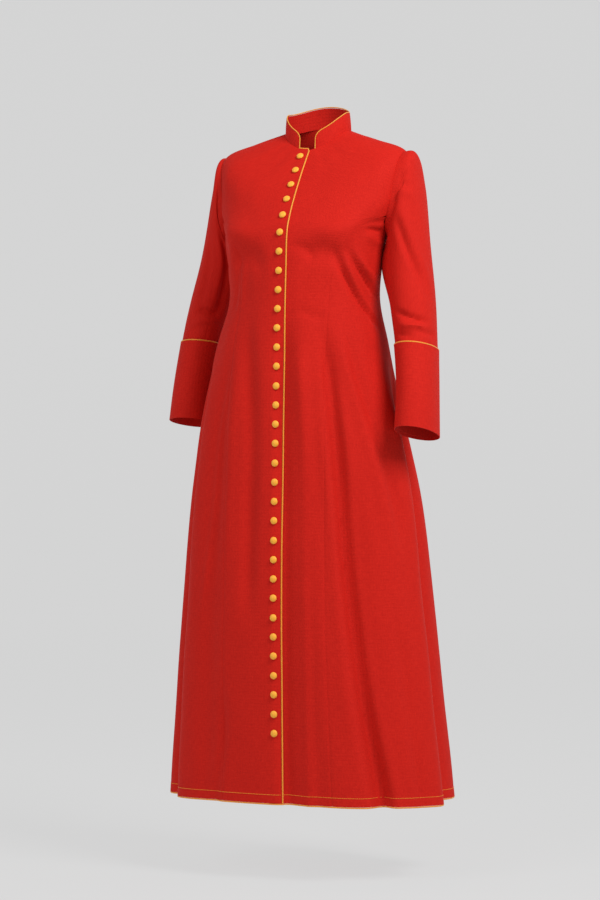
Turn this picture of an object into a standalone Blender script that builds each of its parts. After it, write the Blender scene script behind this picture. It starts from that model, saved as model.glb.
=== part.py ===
"""A worn cassock: a long fitted gown with a stand collar, a buttoned front, deep cuffs and gold piping.

Metres, +Z up. The origin is the middle of the neck opening, where the wearer carries the garment.
The front faces -Y and the wearer's left side is +X. Every cloth piece is a thin closed wall.
"""

import math

import bpy
import numpy as np

# Driving sizes
CLOTH = 0.0018
SEAM_GAP = 0.0003
LAP_LIFT = 0.0032
LAP_BLEND_DEG = 26.0
FRONT_EDGE_X = 0.0050
FRONT_CORNER = 0.0030
BUTTON_LINE_X = -0.0073
UNDERLAP_X = -0.0220
TOP_PIPING_START_X = -0.0150
PIPING_RADIUS = 0.0014
FINE_PIPING_RADIUS = 0.0011
PIPING_SIDES = 6
HEM_PIPING_BLEND_DEG, HEM_PIPING_CLEAR_DEG = 3.4, 5.2

# Buttons: the profile is half of a cross-section, from the flat back to the crown
BUTTON_COUNT = 32
BUTTON_SIDES = 10
BUTTON_PROFILE = ((0.0058, 0.0), (0.0068, 0.0014), (0.0062, 0.0034), (0.0038, 0.0049))
BUTTON_RISE = 0.0054
FIRST_BUTTON_DROP = 0.0215
LAST_BUTTON_ABOVE_HEM = 0.139

# Collar: a stand band, open between its two ends at the front
COLLAR_CLOTH = 0.0022
COLLAR_FRONT_HEIGHT, COLLAR_BACK_HEIGHT = 0.032, 0.040
COLLAR_LEAN = 0.09
COLLAR_CORNER = 0.011
COLLAR_CORNER_COLUMNS = 5
COLLAR_RADIUS = 0.062
COLLAR_PIPING_START = 0.0012
COLLAR_END_X = 0.0190
COLLAR_COLUMNS, COLLAR_ROWS = 26, 3

# Cuffs: each is turned back over the lower end of its sleeve
CUFF_STAND = 0.0008
CUFF_OVERHANG = 0.006
CUFF_PIPING_STAND = 0.0002

# Colours
RED_WOOL = (0.60, 0.022, 0.016)
GOLD_CORD = (0.90, 0.36, 0.03)
GOLD_SATIN = (0.93, 0.45, 0.05)

# Sections of the body, from hem to neck. A level is a ring round the body that passes at its own
# height at the front, the sides and the back. The front and back columns are how far forward and
# back the ring lies; side_deg is where the side seam is, going round from the centre front.
SECTION_COLUMNS = (
    "level", "z_front", "z_side", "z_back", "centre_x", "centre_y", "half_width", "front_y", "back_y",
    "roundness", "side_deg",
)
SECTIONS = (
    (-1.320, -1.318, -1.322, -1.322, -0.010, -0.020, 0.297, -0.190, 0.208, 0.92, 98.0),
    (-1.120, -1.119, -1.120, -1.120, -0.012, -0.026, 0.279, -0.196, 0.190, 0.92, 98.0),
    (-0.916, -0.916, -0.916, -0.916, -0.013, -0.031, 0.259, -0.200, 0.170, 0.92, 99.0),
    (-0.679, -0.679, -0.679, -0.679, -0.014, -0.034, 0.234, -0.194, 0.148, 0.92, 101.0),
    (-0.521, -0.521, -0.521, -0.521, -0.014, -0.045, 0.204, -0.190, 0.120, 0.92, 103.0),
    (-0.402, -0.402, -0.402, -0.402, -0.010, -0.046, 0.175, -0.184, 0.092, 0.92, 105.0),
    (-0.312, -0.312, -0.312, -0.312, -0.005, -0.047, 0.154, -0.174, 0.070, 0.92, 106.0),
    (-0.250, -0.250, -0.250, -0.250, -0.004, -0.051, 0.159, -0.170, 0.074, 0.92, 106.0),
    (-0.190, -0.194, -0.190, -0.190, -0.004, -0.044, 0.168, -0.166, 0.084, 0.94, 104.0),
    (-0.105, -0.150, -0.103, -0.120, 0.002, -0.010, 0.200, -0.150, 0.094, 1.00, 98.0),
    (-0.020, -0.098, -0.018, -0.060, 0.000, 0.000, 0.196, -0.116, 0.092, 1.00, 90.0),
    (0.045, -0.053, 0.009, -0.008, 0.000, 0.005, 0.130, -0.082, 0.084, 1.00, 90.0),
    (0.100, -0.013, 0.029, 0.044, 0.000, 0.012, 0.068, -0.050, 0.073, 1.00, 90.0),
)
HEM_LEVEL, UNDERARM_LEVEL, TIP_LEVEL, NECK_LEVEL = -1.320, -0.190, -0.020, 0.100

# Bust fullness: one soft rise on each side of the front
BUST_DEG, BUST_SPREAD_DEG = 38.0, 20.0
BUST_LEVEL, BUST_SPREAD = -0.185, 0.050
BUST_RISE = 0.010

# Skirt folds: where each starts and where it meets the hem, going round from the centre front
# towards the wearer's left; a rise above zero is a ridge and below zero is a valley.
FOLD_COLUMNS = ("start_deg", "hem_deg", "rise", "spread_deg", "start_level", "full_level")
FOLDS = (
    (16.0, 13.0, -0.0050, 5.0, -0.42, -0.80),
    (28.0, 30.0, 0.0180, 15.0, -0.70, -1.32),
    (33.0, 43.0, -0.0130, 6.5, -0.30, -0.95),
    (60.0, 62.0, 0.0060, 12.0, -0.45, -0.90),
    (80.0, 80.0, 0.0080, 8.0, -0.40, -0.62),
    (99.0, 101.0, -0.0290, 8.5, -0.40, -0.62),
    (124.0, 124.0, 0.0140, 10.0, -0.40, -0.90),
    (147.0, 146.0, -0.0140, 8.0, -0.36, -0.90),
    (164.0, 163.0, 0.0080, 8.0, -0.36, -0.90),
    (180.0, 180.0, -0.0120, 7.0, -0.36, -0.90),
    (197.0, 198.0, 0.0080, 8.0, -0.36, -0.90),
    (216.0, 218.0, -0.0150, 8.5, -0.36, -0.90),
    (240.0, 240.0, 0.0060, 10.0, -0.40, -0.62),
    (268.0, 265.0, 0.0080, 10.0, -0.42, -0.62),
    (292.0, 293.0, -0.0330, 8.0, -0.42, -0.62),
    (310.0, 312.0, 0.0020, 8.0, -0.42, -0.62),
    (327.0, 329.0, -0.0070, 6.0, -0.32, -0.62),
)

# Princess seams, in degrees from the centre front
PRINCESS_COLUMNS = ("level", "front_deg", "back_deg")
PRINCESS = (
    (-1.320, 21.5, 150.0),
    (-0.916, 23.0, 148.0),
    (-0.679, 25.0, 146.0),
    (-0.521, 28.5, 144.0),
    (-0.402, 33.0, 142.0),
    (-0.312, 36.5, 141.0),
    (-0.230, 38.0, 140.0),
    (-0.190, 43.0, 137.0),
    (-0.155, 68.0, 126.0),
)
PRINCESS_TOP_INSET_DEG = 0.9

# Armholes: half openings in degrees, in front of and behind the side line
HOLE_FRONT_DEG, HOLE_BACK_DEG = 30.0, 27.0
HOLE_ROWS = 10
PRINCESS_TOP_ROW = 3

# The sleeves follow bent arms. Each row is a ring: its share of the way from armhole to hem, its
# centre, its half sizes across and fore-and-aft, its roll (outer side up) and tip (front side up).
ARM_COLUMNS = ("share", "x", "y", "z", "across", "fore", "roll_deg", "tip_deg")
LEFT_ARM = (
    (0.20, 0.2010, -0.006, -0.147, 0.0743, 0.0670, 66.2, 0.0),
    (0.36, 0.2108, -0.018, -0.226, 0.042, 0.0600, 17.0, 2.0),
    (0.52, 0.2240, -0.036, -0.319, 0.044, 0.0590, 3.0, 5.0),
    (0.69, 0.2388, -0.054, -0.416, 0.040, 0.0580, 0.0, 11.0),
    (0.87, 0.2485, -0.073, -0.512, 0.038, 0.0600, 0.0, 12.0),
    (1.00, 0.2515, -0.085, -0.580, 0.040, 0.0620, -2.0, 13.0),
)
RIGHT_ARM = (
    (0.20, -0.1970, 0.003, -0.147, 0.0715, 0.0670, 72.1, 0.0),
    (0.36, -0.2100, 0.008, -0.226, 0.042, 0.0600, 17.0, 0.0),
    (0.52, -0.2350, 0.010, -0.315, 0.043, 0.0590, 3.0, 3.0),
    (0.69, -0.2560, 0.009, -0.401, 0.042, 0.0580, 0.0, 9.0),
    (0.87, -0.2720, 0.008, -0.497, 0.043, 0.0600, 0.0, 9.0),
    (1.00, -0.2800, 0.012, -0.556, 0.045, 0.0620, 0.0, 9.0),
)
HEAD_SHARE = 0.045
HEAD_OUT_LOW = 0.004
HEAD_OUT_TOP_LEFT, HEAD_OUT_TOP_RIGHT = 0.014, 0.009
HEAD_UP_TOP, HEAD_DOWN_LOW = 0.001, 0.008
SLEEVE_SEAM_FRONT, SLEEVE_SEAM_BACK = 7, 14
SLEEVE_SEAM_TURN = 0.007

# Rows and columns of the wall grids, and the angle above which an edge stays sharp
SHARP_DEG = 40.0
SKIRT_LEVELS = (
    -1.320, -1.220, -1.120, -1.020, -0.920, -0.820, -0.730, -0.650,
    -0.580, -0.510, -0.450, -0.400, -0.355, -0.312, -0.270, -0.230,
)
YOKE_LEVELS = (0.022, 0.062, 0.0965, 0.100)
PANEL_INTERVALS = {"centre_front": 5, "side_front": 10, "side_back": 6, "centre_back": 5}
SLEEVE_HEAD_SHARES = (0.0, 0.022, 0.045, 0.09, 0.145, 0.20, 0.27, 0.36, 0.44, 0.52, 0.61)
CUFF_SHARES = (0.693, 0.79, 0.90, 1.0)


def table(columns, rows):
    """The rows of a table as arrays, one for each named column."""
    return dict(zip(columns, np.array(rows, float).T))


def eased(share):
    """A ramp from 0 to 1 that is level at both ends."""
    share = np.clip(share, 0.0, 1.0)
    return share * share * (3.0 - 2.0 * share)


def spline(knots, values, where):
    """A smooth curve through values at the knots: cubic pieces whose slopes match at the knots."""
    knots, where = np.asarray(knots, float), np.asarray(where, float)
    slopes = np.gradient(values, knots)
    piece = np.clip(np.searchsorted(knots, where, side="right") - 1, 0, len(knots) - 2)
    return cubic_piece(knots, values, slopes, piece, where)


def cubic_piece(knots, values, slopes, piece, where):
    width = knots[piece + 1] - knots[piece]
    u = (where - knots[piece]) / width
    return (
        values[piece] * (1 + 2 * u) * (1 - u) ** 2
        + slopes[piece] * width * u * (1 - u) ** 2
        + values[piece + 1] * u * u * (3 - 2 * u)
        + slopes[piece + 1] * width * u * u * (u - 1)
    )


def section(level):
    """Every column of the section table at the given levels."""
    rows = table(SECTION_COLUMNS, SECTIONS)
    return {name: spline(rows["level"], rows[name], level) for name in SECTION_COLUMNS[1:]}


def signed_power(value, power):
    return np.sign(value) * np.abs(value) ** power


def turn_between(turn, middle):
    """The signed angle from middle to turn, the short way round."""
    return (turn - middle + np.pi) % (2 * np.pi) - np.pi


def fullness(turn, level):
    """How far the bust and the skirt's folds push the cloth outwards."""
    out = np.zeros(turn.shape)
    height = (level - BUST_LEVEL) / BUST_SPREAD
    for side in (-1, 1):
        away = np.degrees(turn_between(turn, side * math.radians(BUST_DEG))) / BUST_SPREAD_DEG
        out += BUST_RISE * np.exp(-(away**2) - height**2)
    for row in FOLDS:
        fold = dict(zip(FOLD_COLUMNS, row))
        below = fold["start_level"] - level
        share = np.clip(below / (fold["start_level"] - HEM_LEVEL), 0.0, 1.0)
        middle = np.radians(fold["start_deg"] + (fold["hem_deg"] - fold["start_deg"]) * share)
        away = np.degrees(turn_between(turn, middle)) / fold["spread_deg"]
        grown = eased(below / (fold["start_level"] - fold["full_level"]))
        out += fold["rise"] * grown * np.exp(-(away**2))
    return out


def body_surface(turn, level):
    """The outside of the gown. Turn is the angle round the body from the centre front towards the
    wearer's left; each level is an oval ring that has its own front, side and back heights."""
    turn, level = np.broadcast_arrays(np.asarray(turn, float), np.asarray(level, float))
    ring = section(level)
    across, ahead = np.sin(turn), np.cos(turn)
    is_front = ahead > 0
    depth = np.where(is_front, ring["centre_y"] - ring["front_y"], ring["back_y"] - ring["centre_y"])
    end_z = np.where(is_front, ring["z_front"], ring["z_back"])
    out = fullness(turn, level)
    x = ring["centre_x"] + ring["half_width"] * signed_power(across, ring["roundness"]) + out * across
    y = ring["centre_y"] - depth * signed_power(ahead, ring["roundness"]) - out * ahead
    z = ring["z_side"] + (end_z - ring["z_side"]) * ahead**2
    return np.stack([x, y, z], -1)


def surface_normals(surface, u, v):
    """Unit normals of surface(u, v), from the cross product of its two slopes."""
    step = 1e-4
    along_u = surface(u + step, v) - surface(u - step, v)
    along_v = surface(u, v + step) - surface(u, v - step)
    normal = np.cross(along_u, along_v)
    return normal / np.linalg.norm(normal, axis=-1, keepdims=True)


def body_grid(turn, level):
    """Outside points and outward normals of the gown."""
    turn, level = np.broadcast_arrays(turn, level)
    return body_surface(turn, level), surface_normals(body_surface, turn, level)


def arc_per_radian(turn, level):
    """Metres of cloth for each radian round the ring."""
    step = 1e-3
    ends = body_surface(turn + step, level) - body_surface(turn - step, level)
    return np.linalg.norm(ends, axis=-1) / (2 * step)


def turn_at_x(x, level):
    """The turn near the centre front where the ring passes x."""
    ring = section(level)
    return np.arcsin(signed_power((x - ring["centre_x"]) / ring["half_width"], 1 / ring["roundness"]))


def side_turn(level):
    return np.radians(section(level)["side_deg"])


def hole_level(lap, inset=0.0):
    """The level of an armhole's edge at lap, an angle from its top, forwards and down."""
    middle, half = (TIP_LEVEL + UNDERARM_LEVEL) / 2, (TIP_LEVEL - UNDERARM_LEVEL) / 2
    return middle + (half - inset) * np.cos(lap)


def hole_edge(lap, inset=0.0):
    """Turn and level of the left armhole's edge. Inset draws the edge in, for the sleeve's seam gap."""
    level = hole_level(lap, inset)
    opening = np.radians(np.where(np.sin(lap) > 0, HOLE_FRONT_DEG, HOLE_BACK_DEG))
    side = side_turn(level)
    return side - (opening - inset / arc_per_radian(side, level)) * np.sin(lap), level


def hole_edge_turn(level, way):
    """The turn of the armhole's front edge (way 1) or back edge (way -1) on a row of the body."""
    middle, half = (TIP_LEVEL + UNDERARM_LEVEL) / 2, (TIP_LEVEL - UNDERARM_LEVEL) / 2
    opening = np.sqrt(1 - np.clip((level - middle) / half, -1.0, 1.0) ** 2)
    return side_turn(level) - way * math.radians(HOLE_FRONT_DEG if way > 0 else HOLE_BACK_DEG) * opening


def body_levels(top_row=None):
    """The shared rows of the body panels, from the hem up, or only up to a row of the armhole."""
    hole_rows = hole_level(np.pi - np.pi * np.arange(HOLE_ROWS + 1) / HOLE_ROWS)
    if top_row is not None:
        return np.concatenate([SKIRT_LEVELS, hole_rows[: top_row + 1]])
    return np.concatenate([SKIRT_LEVELS, hole_rows, YOKE_LEVELS])


def princess_turn(level, column):
    rows = table(PRINCESS_COLUMNS, PRINCESS)
    return np.radians(spline(rows["level"], rows[column], level))


def panel_edges(kind, level):
    """The turns of a left-hand panel's two long edges, the one nearer the centre front first."""
    inset = math.radians(PRINCESS_TOP_INSET_DEG)
    hole_front, hole_back = hole_edge_turn(level, 1), hole_edge_turn(level, -1)
    above = level > hole_level(np.pi - np.pi * PRINCESS_TOP_ROW / HOLE_ROWS) + 1e-6
    front_seam = np.minimum(princess_turn(level, "front_deg"), hole_front - inset)
    back_seam = np.maximum(princess_turn(level, "back_deg"), hole_back + inset)
    front_seam = np.where(above, hole_front, front_seam)
    back_seam = np.where(above, hole_back, back_seam)
    edges = {
        "centre_front": (turn_at_x(FRONT_EDGE_X, level), front_seam),
        "side_front": (front_seam, hole_front),
        "side_back": (hole_back, back_seam),
        "centre_back": (back_seam, np.full(level.shape, np.pi)),
    }
    return edges[kind]


def gapped(turn, level, way):
    """The edge moved by half a seam gap, towards the wearer's left where way is 1."""
    return turn + way * 0.5 * SEAM_GAP / arc_per_radian(turn, level)


def panel_turns(kind, level):
    """The turns of a left-hand panel's columns on each row, between its two seams."""
    first, last = panel_edges(kind, level)
    share = np.linspace(0.0, 1.0, PANEL_INTERVALS[kind] + 1)[:, None]
    first = first if kind == "centre_front" else gapped(first, level, 1)
    last = gapped(last, level, -1)
    return first + (last - first) * share


def lap_turns(level, has_corner):
    """The turns of the columns in the lap of the two fronts: underlap, button line and front edge."""
    edge = np.full(level.shape, FRONT_EDGE_X)
    if has_corner:
        edge[level >= NECK_LEVEL] -= FRONT_CORNER
    return np.array([turn_at_x(UNDERLAP_X, level), turn_at_x(BUTTON_LINE_X, level), turn_at_x(edge, level)])


def lap_lift(turn, level):
    """How far the wearer's right front stands off where it laps over the left."""
    share = 1 + (turn - turn_at_x(UNDERLAP_X, level)) / math.radians(LAP_BLEND_DEG)
    return LAP_LIFT * eased(share)


def centre_front_grid(side):
    """Outside points, normals and turns of a centre front: the right one laps over the left."""
    level = body_levels()
    if side > 0:
        turn = np.concatenate([lap_turns(level, False)[:2], panel_turns("centre_front", level)])
        return *body_grid(turn, level), turn
    lap = lap_turns(level, True)
    seam = gapped(-panel_edges("centre_front", level)[1], level, 1)
    share = np.linspace(0.0, 1.0, PANEL_INTERVALS["centre_front"] + 1)[:-1, None]
    turn = np.concatenate([seam + (lap[0] - seam) * share, lap])
    points, normals = body_grid(turn, level)
    return points + normals * lap_lift(turn, level)[..., None], normals, turn


def back_or_side_grid(kind, side):
    """Outside points, normals and turns of a side panel or a half of the centre back."""
    level = body_levels(None if kind == "centre_back" else PRINCESS_TOP_ROW)
    turn = panel_turns(kind, level)
    if side < 0:
        turn = -turn[::-1]
    return *body_grid(turn, level), turn


def new_object(name, points, faces, material):
    mesh = bpy.data.meshes.new(name)
    mesh.from_pydata([tuple(point) for point in np.reshape(points, (-1, 3))], [], faces)
    mesh.update()
    mesh.shade_smooth()
    mesh.set_sharp_from_angle(angle=math.radians(SHARP_DEG))
    mesh.materials.append(material)
    made = bpy.data.objects.new(name, mesh)
    bpy.context.scene.collection.objects.link(made)
    return made


def wall(name, outer, normals, thickness, material, closed=False):
    """A closed wall from a grid of outside points; its inside is the grid moved in along the normals.
    The grid's two directions, in order, turn anticlockwise seen from outside; closed joins it up."""
    columns, rows = outer.shape[:2]
    shift = columns * rows

    def at(i, j):
        return (i % columns) * rows + j

    faces = []
    for i in range(columns if closed else columns - 1):
        for j in range(rows - 1):
            quad = (at(i, j), at(i + 1, j), at(i + 1, j + 1), at(i, j + 1))
            faces += [quad, tuple(index + shift for index in quad[::-1])]
        for j, way in ((0, 1), (rows - 1, -1)):
            rim = (at(i + 1, j), at(i, j), at(i, j) + shift, at(i + 1, j) + shift)
            faces.append(rim[::way])
    if not closed:
        for i, way in ((0, -1), (columns - 1, 1)):
            for j in range(rows - 1):
                low, high = at(i, j), at(i, j + 1)
                faces += [(high, low, high + shift)[::way], (low, low + shift, high + shift)[::way]]
    return new_object(name, np.concatenate([outer, outer - normals * thickness]), faces, material)


def rod(name, path, outward, radius, material, closed=False):
    """A round cord along a path, with flat ends unless it is closed into a ring."""
    if closed:
        along = np.roll(path, -1, axis=0) - np.roll(path, 1, axis=0)
    else:
        along = np.gradient(path, axis=0)
    along = along / np.linalg.norm(along, axis=1, keepdims=True)
    first = outward - along * (outward * along).sum(1, keepdims=True)
    first /= np.linalg.norm(first, axis=1, keepdims=True)
    second = np.cross(along, first)
    angle = (np.arange(PIPING_SIDES) + 0.5) * 2 * np.pi / PIPING_SIDES
    ring = np.cos(angle)[None, :, None] * first[:, None] + np.sin(angle)[None, :, None] * second[:, None]
    points = path[:, None] + radius * ring
    count, sides = len(path), PIPING_SIDES
    faces = []
    for i in range(count if closed else count - 1):
        low_ring, high_ring = i * sides, (i + 1) % count * sides
        for k in range(sides):
            next_k = (k + 1) % sides
            faces.append((low_ring + k, low_ring + next_k, high_ring + next_k, high_ring + k))
    if not closed:
        faces += [tuple(range(sides))[::-1], tuple(range((count - 1) * sides, count * sides))]
    return new_object(name, points, faces, material)


def arm_ring(row, lap):
    """One ring of a sleeve: an oval, rolled so that its outer side rises and tipped so its front does."""
    ring = dict(zip(ARM_COLUMNS, row))
    roll, tip = math.radians(ring["roll_deg"]), math.radians(ring["tip_deg"])
    outward, ahead = ring["across"] * np.cos(lap), ring["fore"] * np.sin(lap)
    return np.stack(
        [
            ring["x"] + math.copysign(1.0, ring["x"]) * outward * math.cos(roll),
            ring["y"] - ahead * math.cos(tip),
            ring["z"] + outward * math.sin(roll) + ahead * math.sin(tip),
        ],
        -1,
    )


def sleeve_surface(side, lap, share):
    """The outside of a sleeve. Lap is the angle round it, from the outer side forwards; share runs
    from 0 at the armhole to 1 at the wrist, over the sleeve head and through the rings of the arm."""
    lap, share = np.broadcast_arrays(np.asarray(lap, float), np.asarray(share, float))
    turn, level = hole_edge(lap, SEAM_GAP)
    seam = body_surface(side * turn, level)
    top = (1 + np.cos(lap)) / 2
    head_out_top = HEAD_OUT_TOP_LEFT if side > 0 else HEAD_OUT_TOP_RIGHT
    push = np.stack(
        [
            side * (HEAD_OUT_LOW + (head_out_top - HEAD_OUT_LOW) * top),
            np.zeros(lap.shape),
            HEAD_UP_TOP * top - HEAD_DOWN_LOW * (1 - top),
        ],
        -1,
    )
    arm = LEFT_ARM if side > 0 else RIGHT_ARM
    knots = np.array([0.0, HEAD_SHARE] + [row[0] for row in arm])
    lines = np.stack([seam, seam + push] + [arm_ring(row, lap) for row in arm])
    slopes = np.gradient(lines, knots, axis=0)
    piece = np.clip(np.searchsorted(knots, share, side="right") - 1, 0, len(knots) - 2)
    where = np.indices(lap.shape)
    width = (knots[piece + 1] - knots[piece])[..., None]
    u = (share - knots[piece])[..., None] / width
    return (
        lines[(piece, *where)] * (1 + 2 * u) * (1 - u) ** 2
        + slopes[(piece, *where)] * width * u * (1 - u) ** 2
        + lines[(piece + 1, *where)] * u * u * (3 - 2 * u)
        + slopes[(piece + 1, *where)] * width * u * u * (u - 1)
    )


def sleeve_grid(side, lap, share):
    """Outside points and outward normals of a sleeve on a grid, in the order that a wall needs."""
    if side < 0:
        lap = lap[::-1]
    lap, share = np.meshgrid(lap, share, indexing="ij")
    normals = surface_normals(lambda u, v: sleeve_surface(side, u, v), lap, share)
    return sleeve_surface(side, lap, share), side * normals


def sleeve_piece(side, is_top, material):
    """A top sleeve, over the outside of the arm, or an under sleeve, between the two long seams."""
    first, last = SLEEVE_SEAM_FRONT, SLEEVE_SEAM_BACK
    if is_top:
        first, last = SLEEVE_SEAM_BACK - 2 * HOLE_ROWS, SLEEVE_SEAM_FRONT
    lap = np.arange(first, last + 1) * np.pi / HOLE_ROWS
    lap[0] += SLEEVE_SEAM_TURN / 2
    lap[-1] -= SLEEVE_SEAM_TURN / 2
    outer, normals = sleeve_grid(side, lap, np.array(SLEEVE_HEAD_SHARES + CUFF_SHARES))
    name = f"sleeve_{side_name(side)}_{'top' if is_top else 'under'}"
    return wall(name, outer, normals, CLOTH, material)


def cuff(side, material):
    """A deep cuff: a tube round the lower end of its sleeve, a little longer than the sleeve."""
    lap = np.arange(2 * HOLE_ROWS) * np.pi / HOLE_ROWS
    sleeve, normals = sleeve_grid(side, lap, np.array(CUFF_SHARES))
    outer = sleeve + normals * (CUFF_STAND + CLOTH)
    along = sleeve[:, -1] - sleeve[:, -2]
    along /= np.linalg.norm(along, axis=-1, keepdims=True)
    outer[:, -1] += along * CUFF_OVERHANG
    return wall(f"cuff_{side_name(side)}", outer, normals, CLOTH, material, closed=True)


def cuff_piping(side, material):
    """A cord round the top edge of a cuff."""
    lap = np.arange(2 * HOLE_ROWS) * np.pi / HOLE_ROWS
    edge, normals = sleeve_grid(side, lap, np.array(CUFF_SHARES[:2]))
    up = edge[:, 0] - edge[:, 1]
    up /= np.linalg.norm(up, axis=-1, keepdims=True)
    rise = FINE_PIPING_RADIUS + SEAM_GAP
    path = edge[:, 0] + up * rise + normals[:, 0] * (rise + CUFF_PIPING_STAND)
    name = f"piping_cuff_{side_name(side)}"
    return rod(name, path, normals[:, 0], FINE_PIPING_RADIUS, material, closed=True)


def side_name(side):
    return "left" if side > 0 else "right"


def neck_edge(turn):
    """The neck edge of the body panels as they are cut: straight between their columns."""
    turns, points = [], []
    for side in (-1, 1):
        for outer, _, columns in (centre_front_grid(side), back_or_side_grid("centre_back", side)):
            keep = side * columns[:, -1] > 0
            turns.append(columns[keep, -1])
            points.append(outer[keep, -1])
    turns = np.concatenate(turns)
    order = np.argsort(turns)
    points = np.concatenate(points)[order]
    turn = turn_between(turn, 0.0)
    return np.stack([np.interp(turn, turns[order], points[:, k]) for k in range(3)], -1)


def collar_surface(turn, height):
    """The outside of the collar: it rises from the neck edge, leans in and rounds out from the cut edge."""
    turn, height = np.broadcast_arrays(turn, height)
    cut = neck_edge(turn)
    ring = body_surface(turn, NECK_LEVEL)
    blend = np.clip(height / COLLAR_FRONT_HEIGHT, 0.0, 1.0)[..., None]
    base = cut + (ring - cut) * blend
    outward = surface_normals(body_surface, turn, np.full(turn.shape, NECK_LEVEL))
    outward[..., 2] = 0.0
    outward /= np.linalg.norm(outward, axis=-1, keepdims=True)
    rise = (height + SEAM_GAP)[..., None]
    return base + rise * (np.array([0.0, 0.0, math.cos(COLLAR_LEAN)]) - math.sin(COLLAR_LEAN) * outward)


def collar_height(turn):
    """The full height of the collar, which grows towards the back."""
    return COLLAR_FRONT_HEIGHT + (COLLAR_BACK_HEIGHT - COLLAR_FRONT_HEIGHT) * (1 - np.cos(turn)) / 2


def collar_ends():
    """The turns of the collar's two ends, from the wearer's left end round the back to the right end."""
    end = float(turn_at_x(COLLAR_END_X, np.array(NECK_LEVEL)))
    return end, 2 * np.pi - end


def corner_angles():
    """Angles round a collar corner, from its end edge to its top edge."""
    return np.linspace(0.0, np.pi / 2, COLLAR_CORNER_COLUMNS)


def collar_turns():
    """Turns of the collar's columns, closer together in its two rounded corners."""
    first, last = collar_ends()
    corner = COLLAR_CORNER / COLLAR_RADIUS
    near = corner * (1 - np.cos(corner_angles()))
    middle = np.linspace(first + corner, last - corner, COLLAR_COLUMNS)
    return np.concatenate([first + near[:-1], middle, (last - near[:-1])[::-1]])


def corner_drop(turn):
    """How far a rounded corner lies below the full height of the collar."""
    first, last = collar_ends()
    inward = np.minimum(turn - first, last - turn) * COLLAR_RADIUS
    across = np.clip(1 - inward / COLLAR_CORNER, 0.0, 1.0)
    return COLLAR_CORNER * (1 - np.sqrt(1 - across**2))


def collar(material):
    turn = collar_turns()
    top = collar_height(turn) - corner_drop(turn)
    share = np.linspace(0.0, 1.0, COLLAR_ROWS + 1)
    turn, height = np.broadcast_arrays(turn[:, None], top[:, None] * share)
    normals = surface_normals(collar_surface, turn, height)
    return wall("collar_stand", collar_surface(turn, height), normals, COLLAR_CLOTH, material)


def collar_piping(material):
    """A fine cord up the collar's left end, round its top edge and down its right end."""
    first, last = collar_ends()
    offset = FINE_PIPING_RADIUS + 2 * SEAM_GAP
    angle = corner_angles()
    corner, stand = COLLAR_CORNER / COLLAR_RADIUS, offset / COLLAR_RADIUS
    round_corner = corner - (corner + stand) * np.cos(angle)
    turn = np.concatenate(
        [
            [first - stand],
            first + round_corner,
            np.linspace(first + corner, last - corner, COLLAR_COLUMNS)[1:-1],
            (last - round_corner)[::-1],
            [last + stand],
        ]
    )
    drop = (COLLAR_CORNER + offset) * (1 - np.sin(angle))
    height = collar_height(turn) + offset
    height[1 : 1 + COLLAR_CORNER_COLUMNS] -= drop
    height[-1 - COLLAR_CORNER_COLUMNS : -1] -= drop[::-1]
    height[0] = height[-1] = COLLAR_PIPING_START
    points = collar_surface(turn, height)
    normals = surface_normals(collar_surface, turn, height)
    return rod("piping_collar", points - normals * COLLAR_CLOTH / 2, normals, FINE_PIPING_RADIUS, material)


def front_piping(material):
    """A cord along the right front: over its top edge, round the corner and down to the hem."""
    outer, normals, turn = centre_front_grid(-1)
    offset = PIPING_RADIUS + SEAM_GAP
    edge = body_surface(turn[-1], body_levels()) + normals[-1] * offset
    edge[:, 0] += offset
    up = outer[-3:, -1] - outer[-3:, -2]
    up /= np.linalg.norm(up, axis=-1, keepdims=True)
    up[-1] = up[-2]
    top = outer[-3:, -1] - normals[-3:, -1] * (CLOTH / 2) + up * offset
    share = (TOP_PIPING_START_X - UNDERLAP_X) / (BUTTON_LINE_X - UNDERLAP_X)
    top[0] += (top[1] - top[0]) * share
    top[-1, 0] += offset / 2
    edge[-2] += up[-1] * offset / 2
    path = np.concatenate([top, edge[:-1][::-1]])
    outward = np.concatenate([normals[-3:, -1], normals[-1][:-1][::-1]])
    return rod("piping_front", path, outward, PIPING_RADIUS, material)


def hem_piping(side, material):
    """A cord under the hem, from the front round to the centre back."""
    level = np.array([HEM_LEVEL])
    middle = np.concatenate([panel_turns(kind, level)[1:, 0] for kind in PANEL_INTERVALS])
    offset = PIPING_RADIUS + SEAM_GAP
    start = turn_at_x(UNDERLAP_X if side > 0 else FRONT_EDGE_X + PIPING_RADIUS + offset, level)
    if side > 0:
        turn = np.concatenate([start, lap_turns(level, False)[1:, 0], middle])
    else:
        lap = lap_turns(level, False)[::-1, 0]
        past_lap = -middle[middle > math.radians(HEM_PIPING_CLEAR_DEG) - lap[-1]]
        blend = [lap[-1] - math.radians(HEM_PIPING_BLEND_DEG)]
        turn = np.concatenate([start, lap, blend, past_lap])
    points, normals = body_grid(turn, HEM_LEVEL)
    lift = lap_lift(turn, HEM_LEVEL) if side < 0 else np.zeros(turn.shape)
    path = points + normals * (lift - CLOTH / 2)[:, None]
    path[:, 2] -= offset
    return rod(f"piping_hem_{side_name(side)}", path, normals, PIPING_RADIUS, material)


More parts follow.
